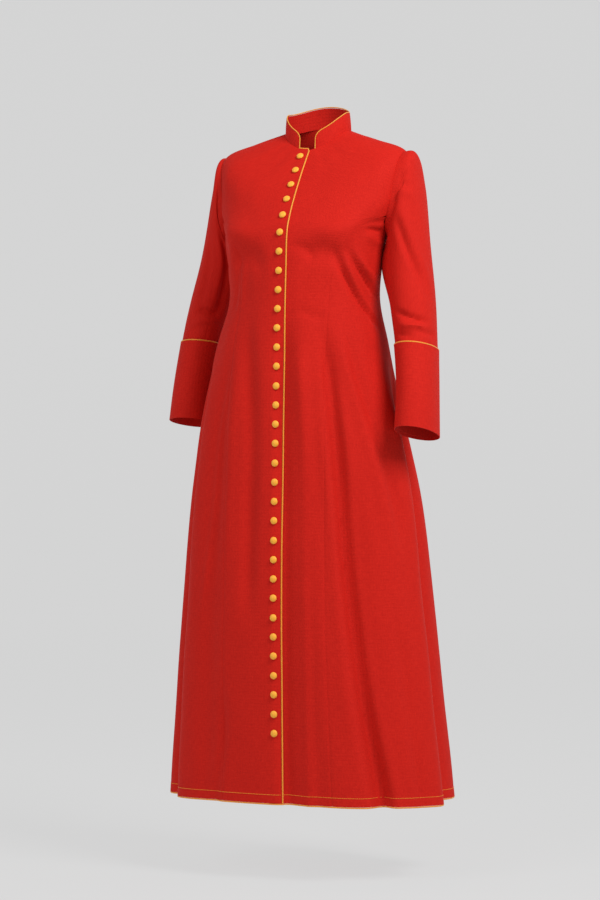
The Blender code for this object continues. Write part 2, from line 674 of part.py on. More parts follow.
def button_places():
    """Points and normals down the button line, spaced evenly along the cloth."""
    outer, normals, _ = centre_front_grid(-1)
    line, facing = outer[-2][::-1], normals[-2][::-1]
    steps = np.linalg.norm(np.diff(line, axis=0), axis=1)
    along = np.concatenate([[0.0], np.cumsum(steps)])
    where = np.linspace(FIRST_BUTTON_DROP, along[-1] - LAST_BUTTON_ABOVE_HEM, BUTTON_COUNT)
    points = np.stack([np.interp(where, along, line[:, k]) for k in range(3)], -1)
    facing = np.stack([np.interp(where, along, facing[:, k]) for k in range(3)], -1)
    return points, facing / np.linalg.norm(facing, axis=1, keepdims=True)


def button(number, place, normal, material):
    """A domed button with a flat back."""
    right = np.cross([0.0, 0.0, 1.0], -normal)
    right /= np.linalg.norm(right)
    up = np.cross(normal, right)
    angle = np.arange(BUTTON_SIDES) * 2 * np.pi / BUTTON_SIDES
    spoke = np.cos(angle)[:, None] * right + np.sin(angle)[:, None] * up
    rings = [place + normal * (rise + SEAM_GAP) + radius * spoke for radius, rise in BUTTON_PROFILE]
    points = np.concatenate(rings + [[place + normal * (BUTTON_RISE + SEAM_GAP)]])
    sides, last = BUTTON_SIDES, len(BUTTON_PROFILE) - 1
    faces = [tuple(range(sides))[::-1]]
    for k in range(sides):
        next_k = (k + 1) % sides
        for ring in range(last):
            low, high = ring * sides, (ring + 1) * sides
            faces.append((low + k, low + next_k, high + next_k, high + k))
        faces.append((last * sides + k, last * sides + next_k, len(points) - 1))
    return new_object(f"button_{number:02d}", points, faces, material)


def new_material(name, colour, roughness, metallic=0.0):
    material = bpy.data.materials.new(name)
    material.use_nodes = True
    shader = material.node_tree.nodes["Principled BSDF"]
    shader.inputs["Base Color"].default_value = (*colour, 1.0)
    shader.inputs["Roughness"].default_value = roughness
    shader.inputs["Metallic"].default_value = metallic
    return material


def cloth(name):
    return new_material(f"{name}_wool", RED_WOOL, 0.85)


def cord(name):
    return new_material(f"{name}_cord", GOLD_CORD, 0.55)


def main():
    for old in list(bpy.data.objects):
        bpy.data.objects.remove(old)
    for side in (1, -1):
        outer, normals, _ = centre_front_grid(side)
        name = f"front_{side_name(side)}_centre"
        wall(name, outer, normals, CLOTH, cloth(name))
        for kind, part in (
            ("side_front", "front_{}_side"),
            ("side_back", "back_{}_side"),
            ("centre_back", "back_{}_centre"),
        ):
            outer, normals, _ = back_or_side_grid(kind, side)
            name = part.format(side_name(side))
            wall(name, outer, normals, CLOTH, cloth(name))
        sleeve_piece(side, True, cloth(f"sleeve_{side_name(side)}_top"))
        sleeve_piece(side, False, cloth(f"sleeve_{side_name(side)}_under"))
        cuff(side, cloth(f"cuff_{side_name(side)}"))
        cuff_piping(side, cord(f"piping_cuff_{side_name(side)}"))
        hem_piping(side, cord(f"piping_hem_{side_name(side)}"))
    collar(cloth("collar_stand"))
    collar_piping(cord("piping_collar"))
    front_piping(cord("piping_front"))
    for number, (place, normal) in enumerate(zip(*button_places()), 1):
        button(number, place, normal, new_material(f"button_{number:02d}_gold", GOLD_SATIN, 0.45))


main()
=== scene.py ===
import math

import bpy
import numpy as np
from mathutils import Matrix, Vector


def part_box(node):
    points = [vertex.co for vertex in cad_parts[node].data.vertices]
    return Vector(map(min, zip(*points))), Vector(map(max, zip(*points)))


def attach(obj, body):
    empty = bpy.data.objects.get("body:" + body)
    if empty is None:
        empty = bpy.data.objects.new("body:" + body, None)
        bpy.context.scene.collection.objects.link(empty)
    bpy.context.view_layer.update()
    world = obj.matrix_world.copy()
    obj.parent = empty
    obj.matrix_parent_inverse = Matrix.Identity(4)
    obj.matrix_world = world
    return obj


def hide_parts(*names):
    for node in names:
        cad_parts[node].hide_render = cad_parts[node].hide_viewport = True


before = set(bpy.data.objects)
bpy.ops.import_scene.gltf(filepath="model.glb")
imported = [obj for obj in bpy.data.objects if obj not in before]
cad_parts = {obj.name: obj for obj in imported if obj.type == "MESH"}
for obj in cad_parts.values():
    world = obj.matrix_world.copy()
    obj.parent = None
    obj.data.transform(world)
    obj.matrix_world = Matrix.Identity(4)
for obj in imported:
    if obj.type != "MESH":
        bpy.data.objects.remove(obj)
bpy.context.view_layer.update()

# The gown's shape
# Eight panels of scarlet wool, cut to shape and joined by long seams, make a close bodice that
# runs without a waist seam into a wide skirt. Their common surface is worked out here.

# Each section is a ring round the body that passes at its own height at the front, sides and back.
SECTION_COLUMNS = (
    "level", "z_front", "z_side", "z_back", "centre_x", "centre_y", "half_width", "front_y", "back_y",
    "roundness", "side_deg",
)
SECTIONS = (
    (-1.32, -1.318, -1.322, -1.322, -0.01, -0.02, 0.297, -0.19, 0.208, 0.92, 98.0),
    (-1.12, -1.119, -1.12, -1.12, -0.012, -0.026, 0.279, -0.196, 0.19, 0.92, 98.0),
    (-0.916, -0.916, -0.916, -0.916, -0.013, -0.031, 0.259, -0.2, 0.17, 0.92, 99.0),
    (-0.679, -0.679, -0.679, -0.679, -0.014, -0.034, 0.234, -0.194, 0.148, 0.92, 101.0),
    (-0.521, -0.521, -0.521, -0.521, -0.014, -0.045, 0.204, -0.19, 0.12, 0.92, 103.0),
    (-0.402, -0.402, -0.402, -0.402, -0.01, -0.046, 0.175, -0.184, 0.092, 0.92, 105.0),
    (-0.312, -0.312, -0.312, -0.312, -0.005, -0.047, 0.154, -0.174, 0.07, 0.92, 106.0),
    (-0.25, -0.25, -0.25, -0.25, -0.004, -0.051, 0.159, -0.17, 0.074, 0.92, 106.0),
    (-0.19, -0.194, -0.19, -0.19, -0.004, -0.044, 0.168, -0.166, 0.084, 0.94, 104.0),
    (-0.105, -0.15, -0.103, -0.12, 0.002, -0.01, 0.2, -0.15, 0.094, 1.0, 98.0),
    (-0.02, -0.098, -0.018, -0.06, 0.0, 0.0, 0.196, -0.116, 0.092, 1.0, 90.0),
    (0.045, -0.053, 0.009, -0.008, 0.0, 0.005, 0.13, -0.082, 0.084, 1.0, 90.0),
    (0.1, -0.013, 0.029, 0.044, 0.0, 0.012, 0.068, -0.05, 0.073, 1.0, 90.0),
)
HEM_LEVEL, UNDERARM_LEVEL, TIP_LEVEL, NECK_LEVEL = -1.320, -0.190, -0.020, 0.100
BUST_DEG, BUST_SPREAD_DEG, BUST_LEVEL, BUST_SPREAD, BUST_RISE = 38.0, 20.0, -0.185, 0.050, 0.010

# The skirt's folds: a rise above zero is a ridge and below zero is a valley.
FOLD_COLUMNS = ("start_deg", "hem_deg", "rise", "spread_deg", "start_level", "full_level")
FOLDS = (
    (16.0, 13.0, -0.005, 5.0, -0.42, -0.8),
    (28.0, 30.0, 0.018, 15.0, -0.7, -1.32),
    (33.0, 43.0, -0.013, 6.5, -0.3, -0.95),
    (60.0, 62.0, 0.006, 12.0, -0.45, -0.9),
    (80.0, 80.0, 0.008, 8.0, -0.4, -0.62),
    (99.0, 101.0, -0.029, 8.5, -0.4, -0.62),
    (124.0, 124.0, 0.014, 10.0, -0.4, -0.9),
    (147.0, 146.0, -0.014, 8.0, -0.36, -0.9),
    (164.0, 163.0, 0.008, 8.0, -0.36, -0.9),
    (180.0, 180.0, -0.012, 7.0, -0.36, -0.9),
    (197.0, 198.0, 0.008, 8.0, -0.36, -0.9),
    (216.0, 218.0, -0.015, 8.5, -0.36, -0.9),
    (240.0, 240.0, 0.006, 10.0, -0.4, -0.62),
    (268.0, 265.0, 0.008, 10.0, -0.42, -0.62),
    (292.0, 293.0, -0.033, 8.0, -0.42, -0.62),
    (310.0, 312.0, 0.002, 8.0, -0.42, -0.62),
    (327.0, 329.0, -0.007, 6.0, -0.32, -0.62),
)


def table(columns, rows):
    """The rows of a table as arrays, one for each named column."""
    return dict(zip(columns, np.array(rows, float).T))


def eased(share):
    """A ramp from 0 to 1 that is level at both ends: 3 s squared less 2 s cubed."""
    share = np.clip(share, 0.0, 1.0)
    return share * share * (3.0 - 2.0 * share)


def cubic(knots, lines, slopes, piece, where):
    """A cubic between two knots: each end's value and slope, weighted by Hermite's four curves."""
    width = knots[piece + 1] - knots[piece]
    u = (where - knots[piece]) / width
    low, high, low_slope, high_slope = lines(piece), lines(piece + 1), slopes(piece), slopes(piece + 1)
    if low.ndim > u.ndim:
        u, width = u[..., None], width[..., None]
    ends = low * (1 + 2 * u) * (1 - u) ** 2 + high * u * u * (3 - 2 * u)
    return ends + width * (low_slope * u * (1 - u) ** 2 + high_slope * u * u * (u - 1))


def spline(knots, values, where):
    """A smooth curve through the values, in cubic pieces whose slopes match at the knots."""
    slopes = np.gradient(values, knots)
    piece = np.clip(np.searchsorted(knots, where, side="right") - 1, 0, len(knots) - 2)
    return cubic(knots, values.__getitem__, slopes.__getitem__, piece, np.asarray(where, float))


def section(level):
    """Every column of the sections table, as a smooth curve read at the given levels."""
    rows = table(SECTION_COLUMNS, SECTIONS)
    return {name: spline(rows["level"], rows[name], level) for name in SECTION_COLUMNS[1:]}


def signed_power(value, power):
    """The size of the value raised to the power, with the value's own sign."""
    return np.sign(value) * np.abs(value) ** power


def turn_between(turn, middle):
    """The signed angle from middle to turn, the short way round."""
    return (turn - middle + np.pi) % (2 * np.pi) - np.pi


def fullness(turn, level):
    """How far bust and folds push the cloth out: each is its rise times a bell curve across it, and
    a fold also grows from nothing at its start level to its full rise lower down."""
    out = np.zeros(turn.shape)
    height = (level - BUST_LEVEL) / BUST_SPREAD
    for side in (-1, 1):
        away = np.degrees(turn_between(turn, side * math.radians(BUST_DEG))) / BUST_SPREAD_DEG
        out += BUST_RISE * np.exp(-(away**2) - height**2)
    for row in FOLDS:
        fold = dict(zip(FOLD_COLUMNS, row))
        below = fold["start_level"] - level
        share = np.clip(below / (fold["start_level"] - HEM_LEVEL), 0.0, 1.0)
        middle = np.radians(fold["start_deg"] + (fold["hem_deg"] - fold["start_deg"]) * share)
        away = np.degrees(turn_between(turn, middle)) / fold["spread_deg"]
        grown = eased(below / (fold["start_level"] - fold["full_level"]))
        out += fold["rise"] * grown * np.exp(-(away**2))
    return out


def gown_surface(turn, level):
    """The outside of the gown. Turn goes round the body from the centre front to the wearer's left,
    and each level is an oval: its half sizes times sine and cosine, plus the fullness outwards."""
    turn, level = np.broadcast_arrays(np.asarray(turn, float), np.asarray(level, float))
    ring = section(level)
    across, ahead = np.sin(turn), np.cos(turn)
    depth = np.where(ahead > 0, ring["centre_y"] - ring["front_y"], ring["back_y"] - ring["centre_y"])
    end_z = np.where(ahead > 0, ring["z_front"], ring["z_back"])
    out = fullness(turn, level)
    x = ring["centre_x"] + ring["half_width"] * signed_power(across, ring["roundness"]) + out * across
    y = ring["centre_y"] - depth * signed_power(ahead, ring["roundness"]) - out * ahead
    z = ring["z_side"] + (end_z - ring["z_side"]) * ahead**2
    return np.stack([x, y, z], -1)


def normals_of(surface, u, v):
    """Unit normals of surface(u, v): the cross product of its slopes along u and along v."""
    step = 1e-4
    along_u = surface(u + step, v) - surface(u - step, v)
    along_v = surface(u, v + step) - surface(u, v - step)
    normal = np.cross(along_u, along_v)
    return normal / np.linalg.norm(normal, axis=-1, keepdims=True)


def arc_per_radian(turn, level):
    """Metres of cloth for each radian round the ring."""
    step = 1e-3
    after, before = gown_surface(turn + step, level), gown_surface(turn - step, level)
    return np.linalg.norm(after - before, axis=-1) / step / 2


def turn_at_x(x, level):
    """The turn near the centre front where the ring passes x."""
    ring = section(level)
    return np.arcsin(signed_power((x - ring["centre_x"]) / ring["half_width"], 1 / ring["roundness"]))


def side_turn(level):
    """The turn of the side seam."""
    return np.radians(section(level)["side_deg"])


# The wool
# A matt scarlet worsted with a fine plain weave, a little uneven in colour along both threads.

RED_DARK, RED_MIDDLE, RED_LIGHT = (0.50, 0.009, 0.005), (0.57, 0.012, 0.006), (0.64, 0.016, 0.008)
WOOL_ROUGHNESS, WEAVE_SCALE, WEAVE_BUMP, WEAVE_DEPTH = 0.80, 45.0, 0.35, 0.0006
STREAK_ALONG, STREAK_ACROSS, CLOUD_SCALE, CLOUD_SHARE = 75.0, 520.0, 9.0, 0.16
RAMP_START, RAMP_END = 0.30, 0.70


def new_material(name, roughness, **finish):
    """A material whose shader has the given roughness and other even values set on its own sockets."""
    made = bpy.data.materials.new(name)
    made.use_nodes = True
    shader = made.node_tree.nodes["Principled BSDF"]
    shader.inputs["Roughness"].default_value = roughness
    for socket, value in finish.items():
        shader.inputs[socket.replace("_", " ")].default_value = value
    return made, made.node_tree.nodes, made.node_tree.links, shader


def add(nodes, kind, inputs=(), **settings):
    """A new node of that kind with its settings and the values of its named inputs."""
    node = nodes.new("ShaderNode" + kind)
    for key, value in settings.items():
        setattr(node, key, value)
    for key, value in dict(inputs).items():
        node.inputs[key].default_value = value
    return node


def streaks(nodes, links, place, detail, scale):
    """Noise drawn out along one thread direction, from the cloth's own coordinates."""
    stretch = add(nodes, "Mapping", {"Scale": scale})
    noise = add(nodes, "TexNoise", {"Scale": 1.0, "Detail": detail, "Roughness": 0.6})
    links.new(place.outputs["UV"], stretch.inputs["Vector"])
    links.new(stretch.outputs["Vector"], noise.inputs["Vector"])
    return noise


def colour_ramp(nodes, dark, light):
    """A ramp from the dark colour to the light one."""
    ramp = add(nodes, "ValToRGB")
    ramp.color_ramp.elements[0].color = (*dark, 1.0)
    ramp.color_ramp.elements[1].color = (*light, 1.0)
    return ramp


def wool_material():
    """Colour: two sets of thread streaks and a broad cloudiness. Bump: crossed waves for the weave."""
    wool, nodes, links, shader = new_material(
        "scarlet_wool", WOOL_ROUGHNESS, Specular_IOR_Level=0.14, Sheen_Weight=0.06, Sheen_Roughness=0.4,
        Sheen_Tint=(1.0, 0.30, 0.22, 1.0),
    )
    place = add(nodes, "UVMap", uv_map="cloth")
    weft = streaks(nodes, links, place, 2.0, (STREAK_ALONG, STREAK_ACROSS, 1.0))
    warp = streaks(nodes, links, place, 2.0, (STREAK_ACROSS, STREAK_ALONG, 1.0))
    cloud = streaks(nodes, links, place, 3.0, (CLOUD_SCALE, CLOUD_SCALE, 1.0))
    both = add(nodes, "Math", operation="ADD")
    links.new(weft.outputs["Fac"], both.inputs[0])
    links.new(warp.outputs["Fac"], both.inputs[1])
    tone = add(nodes, "Math", {1: 0.5}, operation="MULTIPLY_ADD")
    links.new(both.outputs["Value"], tone.inputs[0])
    faint = add(nodes, "Math", {1: CLOUD_SHARE, 2: -CLOUD_SHARE / 2}, operation="MULTIPLY_ADD")
    links.new(cloud.outputs["Fac"], faint.inputs[0])
    links.new(faint.outputs["Value"], tone.inputs[2])
    ramp = colour_ramp(nodes, RED_DARK, RED_LIGHT)
    ramp.color_ramp.elements[0].position, ramp.color_ramp.elements[1].position = RAMP_START, RAMP_END
    ramp.color_ramp.elements.new(0.5).color = (*RED_MIDDLE, 1.0)
    links.new(tone.outputs["Value"], ramp.inputs["Fac"])
    links.new(ramp.outputs["Color"], shader.inputs["Base Color"])
    weave = add(nodes, "Math", operation="MULTIPLY")
    for number, way in enumerate("XY"):
        wave = add(nodes, "TexWave", {"Scale": WEAVE_SCALE, "Distortion": 1.5}, bands_direction=way)
        links.new(place.outputs["UV"], wave.inputs["Vector"])
        links.new(wave.outputs["Fac"], weave.inputs[number])
    height = add(nodes, "Math", operation="ADD")
    links.new(weave.outputs["Value"], height.inputs[0])
    links.new(both.outputs["Value"], height.inputs[1])
    bump = add(nodes, "Bump", {"Strength": WEAVE_BUMP, "Distance": WEAVE_DEPTH})
    links.new(height.outputs["Value"], bump.inputs["Height"])
    links.new(bump.outputs["Normal"], shader.inputs["Normal"])
    return wool


WOOL = wool_material()

# The body panels
# Each panel is one thickness of the wool, turned in along its seams, so every seam shows as a fine
# groove. The wearer's right front laps over the left one, and side panels end in the armholes.

CLOTH, SEAM_GAP = 0.0018, 0.0003
LAP_LIFT, LAP_BLEND_DEG = 0.0032, 26.0
FRONT_EDGE_X, BUTTON_LINE_X, UNDERLAP_X = 0.0050, -0.0073, -0.0220
SEAM_DIP, SEAM_WIDTH = 0.0007, 0.0024
HEM_STITCH_RISE, HEM_FOLD_RISE, HEM_STITCH_SINK, HEM_FOLD_WIDTH = 0.017, 0.0004, 0.0005, 0.0025
ROW_STEP, COLUMN_STEP, FINER_ABOVE, NARROW_PANEL = 0.0065, 0.0060, 1.2, 0.03
UNEVEN_RISE, CUT_EDGE_DEG = 0.0006, 50
EDGE_STEPS = np.array([0.0, 0.0009, 0.0018, 0.0030, 0.0048])
PRINCESS_COLUMNS = ("level", "front_deg", "back_deg")
PRINCESS = (
    (-1.32, 21.5, 150.0),
    (-0.916, 23.0, 148.0),
    (-0.679, 25.0, 146.0),
    (-0.521, 28.5, 144.0),
    (-0.402, 33.0, 142.0),
    (-0.312, 36.5, 141.0),
    (-0.23, 38.0, 140.0),
    (-0.19, 43.0, 137.0),
    (-0.155, 68.0, 126.0),
)
HOLE_FRONT_DEG, HOLE_BACK_DEG = 30.0, 27.0
PRINCESS_TOP_LAP, PRINCESS_TOP_INSET_DEG = 0.7 * np.pi, 0.15

# Creases that the cloth takes as it is worn. A row gives the turn and level of the start and of the
# end, the rise and the width in metres, and the bow off a straight line as a share of its length.
CREASES = (
    (32.0, -0.206, 96.0, -0.386, -0.0098, 0.0085, 0.06),
    (42.0, -0.22, 94.0, -0.374, 0.0052, 0.0065, 0.06),
    (44.0, -0.208, 98.0, -0.318, -0.0092, 0.007, 0.06),
    (54.0, -0.222, 94.0, -0.284, 0.0048, 0.006, 0.06),
    (56.0, -0.163, 88.0, -0.16, -0.003, 0.0045, 0.03),
    (58.0, -0.176, 92.0, -0.182, -0.0044, 0.0055, 0.03),
    (60.0, -0.19, 96.0, -0.206, 0.0036, 0.0065, 0.03),
    (10.0, -0.224, 52.0, -0.252, -0.0066, 0.022, -0.08),
    (12.0, -0.17, 58.0, -0.176, 0.0034, 0.024, 0.04),
    (3.0, -0.21, 24.0, -0.25, -0.0036, 0.01, -0.15),
    (-8.0, -0.246, -50.0, -0.242, -0.0066, 0.022, 0.1),
    (-14.0, -0.172, -58.0, -0.176, 0.0036, 0.024, -0.04),
    (-58.0, -0.15, -96.0, -0.17, -0.0032, 0.006, 0.06),
    (-56.0, -0.175, -92.0, -0.22, -0.0038, 0.008, 0.06),
    (-46.0, -0.2, -84.0, -0.3, -0.0034, 0.011, 0.08),
    (-35.0, -0.2, -45.0, -0.365, -0.0022, 0.01, 0.02),
    (-29.0, -0.215, -36.0, -0.36, 0.0012, 0.01, 0.02),
    (2.0, -0.345, 24.0, -0.35, -0.0014, 0.003, 0.02),
    (3.0, -0.424, 13.0, -0.423, -0.0012, 0.0026, 0.02),
    (3.0, -0.719, 17.0, -0.716, -0.0012, 0.0026, 0.02),
    (10.0, -0.332, 38.0, -0.36, -0.0022, 0.008, 0.08),
    (150.0, -0.1, 168.0, -0.23, -0.003, 0.016, 0.1),
    (210.0, -0.1, 192.0, -0.23, -0.003, 0.016, -0.1),
    (136.0, -0.24, 176.0, -0.325, -0.0036, 0.01, 0.1),
    (224.0, -0.25, 184.0, -0.33, -0.0034, 0.01, 0.1),
    (150.0, -0.335, 210.0, -0.34, -0.0028, 0.009, 0.05),
    (132.0, -0.145, 104.0, -0.19, -0.0036, 0.008, 0.06),
    (228.0, -0.145, 256.0, -0.19, -0.0036, 0.008, 0.06),
)
CREASE_RADIUS = 0.17

# Long soft troughs and ridges down the skirt: the rise, the width and a line of turns and levels.
LONG_CREASES = (
    (-0.0095, 0.017,
     ((4.0, -0.3), (4.5, -0.55), (5.0, -0.75), (5.0, -0.95), (4.5, -1.12), (4.5, -1.3))),
    (0.0072, 0.016, ((16.0, -0.36), (15.2, -0.65), (14.6, -0.85), (14.0, -1.04), (13.0, -1.32))),
    (0.0024, 0.014, ((15.0, -0.36), (18.0, -0.6), (19.5, -0.85), (19.5, -1.05), (18.5, -1.25))),
    (-0.0115, 0.013,
     ((30.5, -0.34), (34.0, -0.54), (33.5, -0.72), (36.0, -0.94), (38.5, -1.09), (45.0, -1.31))),
    (0.0052, 0.012,
     ((36.0, -0.44), (39.5, -0.58), (39.0, -0.76), (42.0, -0.96), (44.5, -1.11), (51.0, -1.3))),
    (0.004, 0.014, ((25.0, -0.5), (28.0, -0.72), (29.5, -0.94), (31.0, -1.12), (36.0, -1.31))),
    (-0.006, 0.012, ((46.0, -0.34), (53.0, -0.46), (59.0, -0.55), (66.0, -0.68), (70.0, -0.84))),
    (0.0036, 0.012, ((41.0, -0.34), (47.0, -0.46), (52.0, -0.56), (58.0, -0.7), (62.0, -0.86))),
    (-0.0085, 0.0165, ((-22.0, -0.34), (-15.0, -0.46), (-11.0, -0.56), (-10.0, -0.75), (-10.0, -0.98))),
    (0.0036, 0.016, ((-33.0, -0.35), (-26.0, -0.5), (-23.0, -0.64), (-22.0, -0.88))),
    (0.004, 0.0075, ((-29.0, -0.44), (-33.5, -0.6), (-33.5, -0.72), (-36.0, -0.85), (-40.0, -0.98))),
    (-0.005, 0.012, ((-24.0, -1.05), (-22.0, -1.2), (-26.0, -1.31))),
    (-0.005, 0.013, ((60.0, -0.9), (63.0, -1.1), (66.0, -1.31))),
    (-0.0048, 0.012, ((170.0, -0.38), (168.0, -0.6), (171.0, -0.85))),
    (-0.0048, 0.012, ((190.0, -0.4), (191.0, -0.66), (188.0, -0.95))),
    (0.003, 0.01, ((156.0, -0.45), (153.0, -0.7), (154.0, -1.05))),
    (0.003, 0.01, ((205.0, -0.42), (208.0, -0.72), (207.0, -1.1))),
    (-0.005, 0.011, ((128.0, -0.4), (131.0, -0.65), (133.0, -0.95))),
    (-0.005, 0.011, ((232.0, -0.42), (229.0, -0.62), (227.0, -0.9))),
)
LONG_TAPER, RUNS_OFF_BELOW = 0.14, -1.28


def crease_field(across, along, rows):
    """The sum of the creases: each is its rise times a bell curve over the distance from its bowed
    line, and it fades in and out along the first and last third of that line."""
    out = np.zeros(across.shape)
    for start_across, start_along, end_across, end_along, rise, width, bow in rows:
        run = np.array([end_across - start_across, end_along - start_along])
        length = np.hypot(*run)
        off_x, off_y = across - start_across, along - start_along
        share = (off_x * run[0] + off_y * run[1]) / length**2
        away = (off_x * run[1] - off_y * run[0]) / length
        away -= bow * length * np.sin(np.pi * np.clip(share, 0.0, 1.0))
        taper = eased(share * 3.0) * eased((1.0 - share) * 3.0)
        out += rise * taper * np.exp(-((away / width) ** 2))
    return out


def long_crease_field(turn, level):
    """The sum of the long creases: each is its rise times a bell curve of the distance round the body
    from its own smooth line. It fades over a set length at each end, unless it runs off the hem."""
    out, arc = np.zeros(turn.shape), arc_per_radian(turn, level)
    for rise, width, line in LONG_CREASES:
        degrees, levels = np.array(line[::-1]).T
        middle = np.radians(spline(levels, degrees, np.clip(level, levels[0], levels[-1])))
        above = (level - levels[0]) / LONG_TAPER + (levels[0] < RUNS_OFF_BELOW)
        taper = eased((levels[-1] - level) / LONG_TAPER) * eased(above)
        out += rise * taper * np.exp(-((turn_between(turn, middle) * arc / width) ** 2))
    return out


def creases_round(turn, along, rows, radius, length):
    """The sum of the creases on a closed form. Its radius and length turn their places into metres,
    and each crease is also met a whole turn before and after."""
    rows = [
        (math.radians(a) * radius, b * length, math.radians(c) * radius, d * length, *shape)
        for a, b, c, d, *shape in rows
    ]
    turns = [(turn + whole * 2 * np.pi) * radius for whole in (-1, 0, 1)]
    return sum(crease_field(across, along * length, rows) for across in turns)


def gown_creases(turn, level):
    """The body's creases, and a slight unevenness from three long crossed waves."""
    turn, level = np.broadcast_arrays(np.asarray(turn, float), np.asarray(level, float))
    out = long_crease_field(turn, level) + creases_round(turn, level, CREASES, CREASE_RADIUS, 1.0)
    uneven = np.sin(7 * turn + 5.1 * level) * np.sin(9.7 * level + 1.3)
    uneven = uneven + 0.7 * np.sin(13 * turn - 7.9 * level + 0.8) * np.sin(17.3 * level + 2.1)
    uneven = uneven + 0.5 * np.sin(23 * turn + 3.3 * level + 1.9) * np.sin(29.0 * level)
    return out + UNEVEN_RISE * uneven


def hole_level(lap):
    """The level of an armhole's edge: the middle of the hole plus half its height times cosine lap."""
    middle, half = (TIP_LEVEL + UNDERARM_LEVEL) / 2, (TIP_LEVEL - UNDERARM_LEVEL) / 2
    return middle + half * np.cos(lap)


def hole_edge(lap):
    """Turn and level of the left armhole's edge: the side's turn less the opening times sine lap."""
    level = hole_level(lap)
    opening = np.radians(np.where(np.sin(lap) > 0, HOLE_FRONT_DEG, HOLE_BACK_DEG))
    return side_turn(level) - opening * np.sin(lap), level


def hole_edge_turn(level, way):
    """The turn of the armhole's front edge (way 1) or back edge (way -1) at each level."""
    middle, half = (TIP_LEVEL + UNDERARM_LEVEL) / 2, (TIP_LEVEL - UNDERARM_LEVEL) / 2
    opening = np.sqrt(1 - np.clip((level - middle) / half, -1.0, 1.0) ** 2)
    return side_turn(level) - way * math.radians(HOLE_FRONT_DEG if way > 0 else HOLE_BACK_DEG) * opening


def gown_levels(top_lap):
    """Levels from the hem up: even steps to the underarm, then steps of equal turn round the armhole,
    then even steps to the neck. A panel that ends in the armhole stops at top_lap."""
    skirt = np.linspace(HEM_LEVEL, UNDERARM_LEVEL, int((UNDERARM_LEVEL - HEM_LEVEL) / ROW_STEP))
    rows = int((np.pi - top_lap) * (TIP_LEVEL - UNDERARM_LEVEL) / 2 / ROW_STEP * FINER_ABOVE)
    hole = hole_level(np.linspace(np.pi, top_lap, rows))
    if top_lap > 0:
        return np.concatenate([skirt[:-1], hole])
    neck = np.linspace(TIP_LEVEL, NECK_LEVEL, int((NECK_LEVEL - TIP_LEVEL) / ROW_STEP * FINER_ABOVE))
    return np.concatenate([skirt[:-1], hole[:-1], neck])


def princess_turns(level):
    """The turns of the front and back princess seams, from their table up into the armhole."""
    rows, inset = table(PRINCESS_COLUMNS, PRINCESS), math.radians(PRINCESS_TOP_INSET_DEG)
    hole_front, hole_back = hole_edge_turn(level, 1), hole_edge_turn(level, -1)
    front = np.radians(spline(rows["level"], rows["front_deg"], level))
    back = np.radians(spline(rows["level"], rows["back_deg"], level))
    above = level > hole_level(PRINCESS_TOP_LAP) + 1e-6
    front = np.where(above, hole_front, np.minimum(front, hole_front - inset))
    return front, np.where(above, hole_back, np.maximum(back, hole_back + inset))


def panel_edges(kind, level):
    """The turns of a left-hand panel's two long edges, the one nearer the centre front first."""
    front_seam, back_seam = princess_turns(level)
    return {
        "centre_front": (turn_at_x(UNDERLAP_X, level), front_seam),
        "side_front": (front_seam, hole_edge_turn(level, 1)),
        "side_back": (hole_edge_turn(level, -1), back_seam),
        "centre_back": (back_seam, np.full(level.shape, np.pi)),
    }[kind]


def panel_columns(first, last, level):
    """Turns of the columns on each row: close together by the two seams and even between them."""
    arc = arc_per_radian((first + last) / 2, level)
    width = (last - first) * arc
    near = EDGE_STEPS[:, None] * np.minimum(1.0, width / NARROW_PANEL) / arc
    count = int(width.max() / COLUMN_STEP)
    share = np.linspace(0.0, 1.0, count)[:, None]
    start, end = first + near[-1], last - near[-1]
    return np.concatenate([first + near[:-1], start + (end - start) * share, (last - near[:-1])[::-1]])


def seam_groove(turn, edge, level, princess):
    """How far the cloth turns in by a seam: the dip times a bell curve of the distance from it. Over
    the bust and shoulder blade a princess seam lies flatter."""
    flat = eased((level + 0.25) / 0.05) * (level < hole_level(PRINCESS_TOP_LAP)) * princess
    away = (turn - edge) * arc_per_radian(turn, level) / SEAM_WIDTH
    return -SEAM_DIP * (1 - 0.8 * flat) * np.exp(-(away**2))


def hem_fold(level):
    """The turned-up hem is a little thicker below its stitching, which sinks in slightly."""
    above = (level - HEM_LEVEL - HEM_STITCH_RISE) / HEM_FOLD_WIDTH
    return HEM_FOLD_RISE * (1 - eased(above / 2 + 0.5)) - HEM_STITCH_SINK * np.exp(-(above**2))


def lap_lift(turn, level):
    """How far the right front stands off, eased from nothing at its side to full at the underlap."""
    share = 1 + (turn - turn_at_x(UNDERLAP_X, level)) / math.radians(LAP_BLEND_DEG)
    return LAP_LIFT * eased(share)


def on_gown(mesh, material, node=None):
    """The mesh as an object of the material, on the garment's one body, in place of its solid."""
    mesh.materials.append(material)
    made = bpy.data.objects.new(mesh.name, mesh)
    bpy.context.scene.collection.objects.link(made)
    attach(made, "root")
    if node:
        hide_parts(node)
    return made


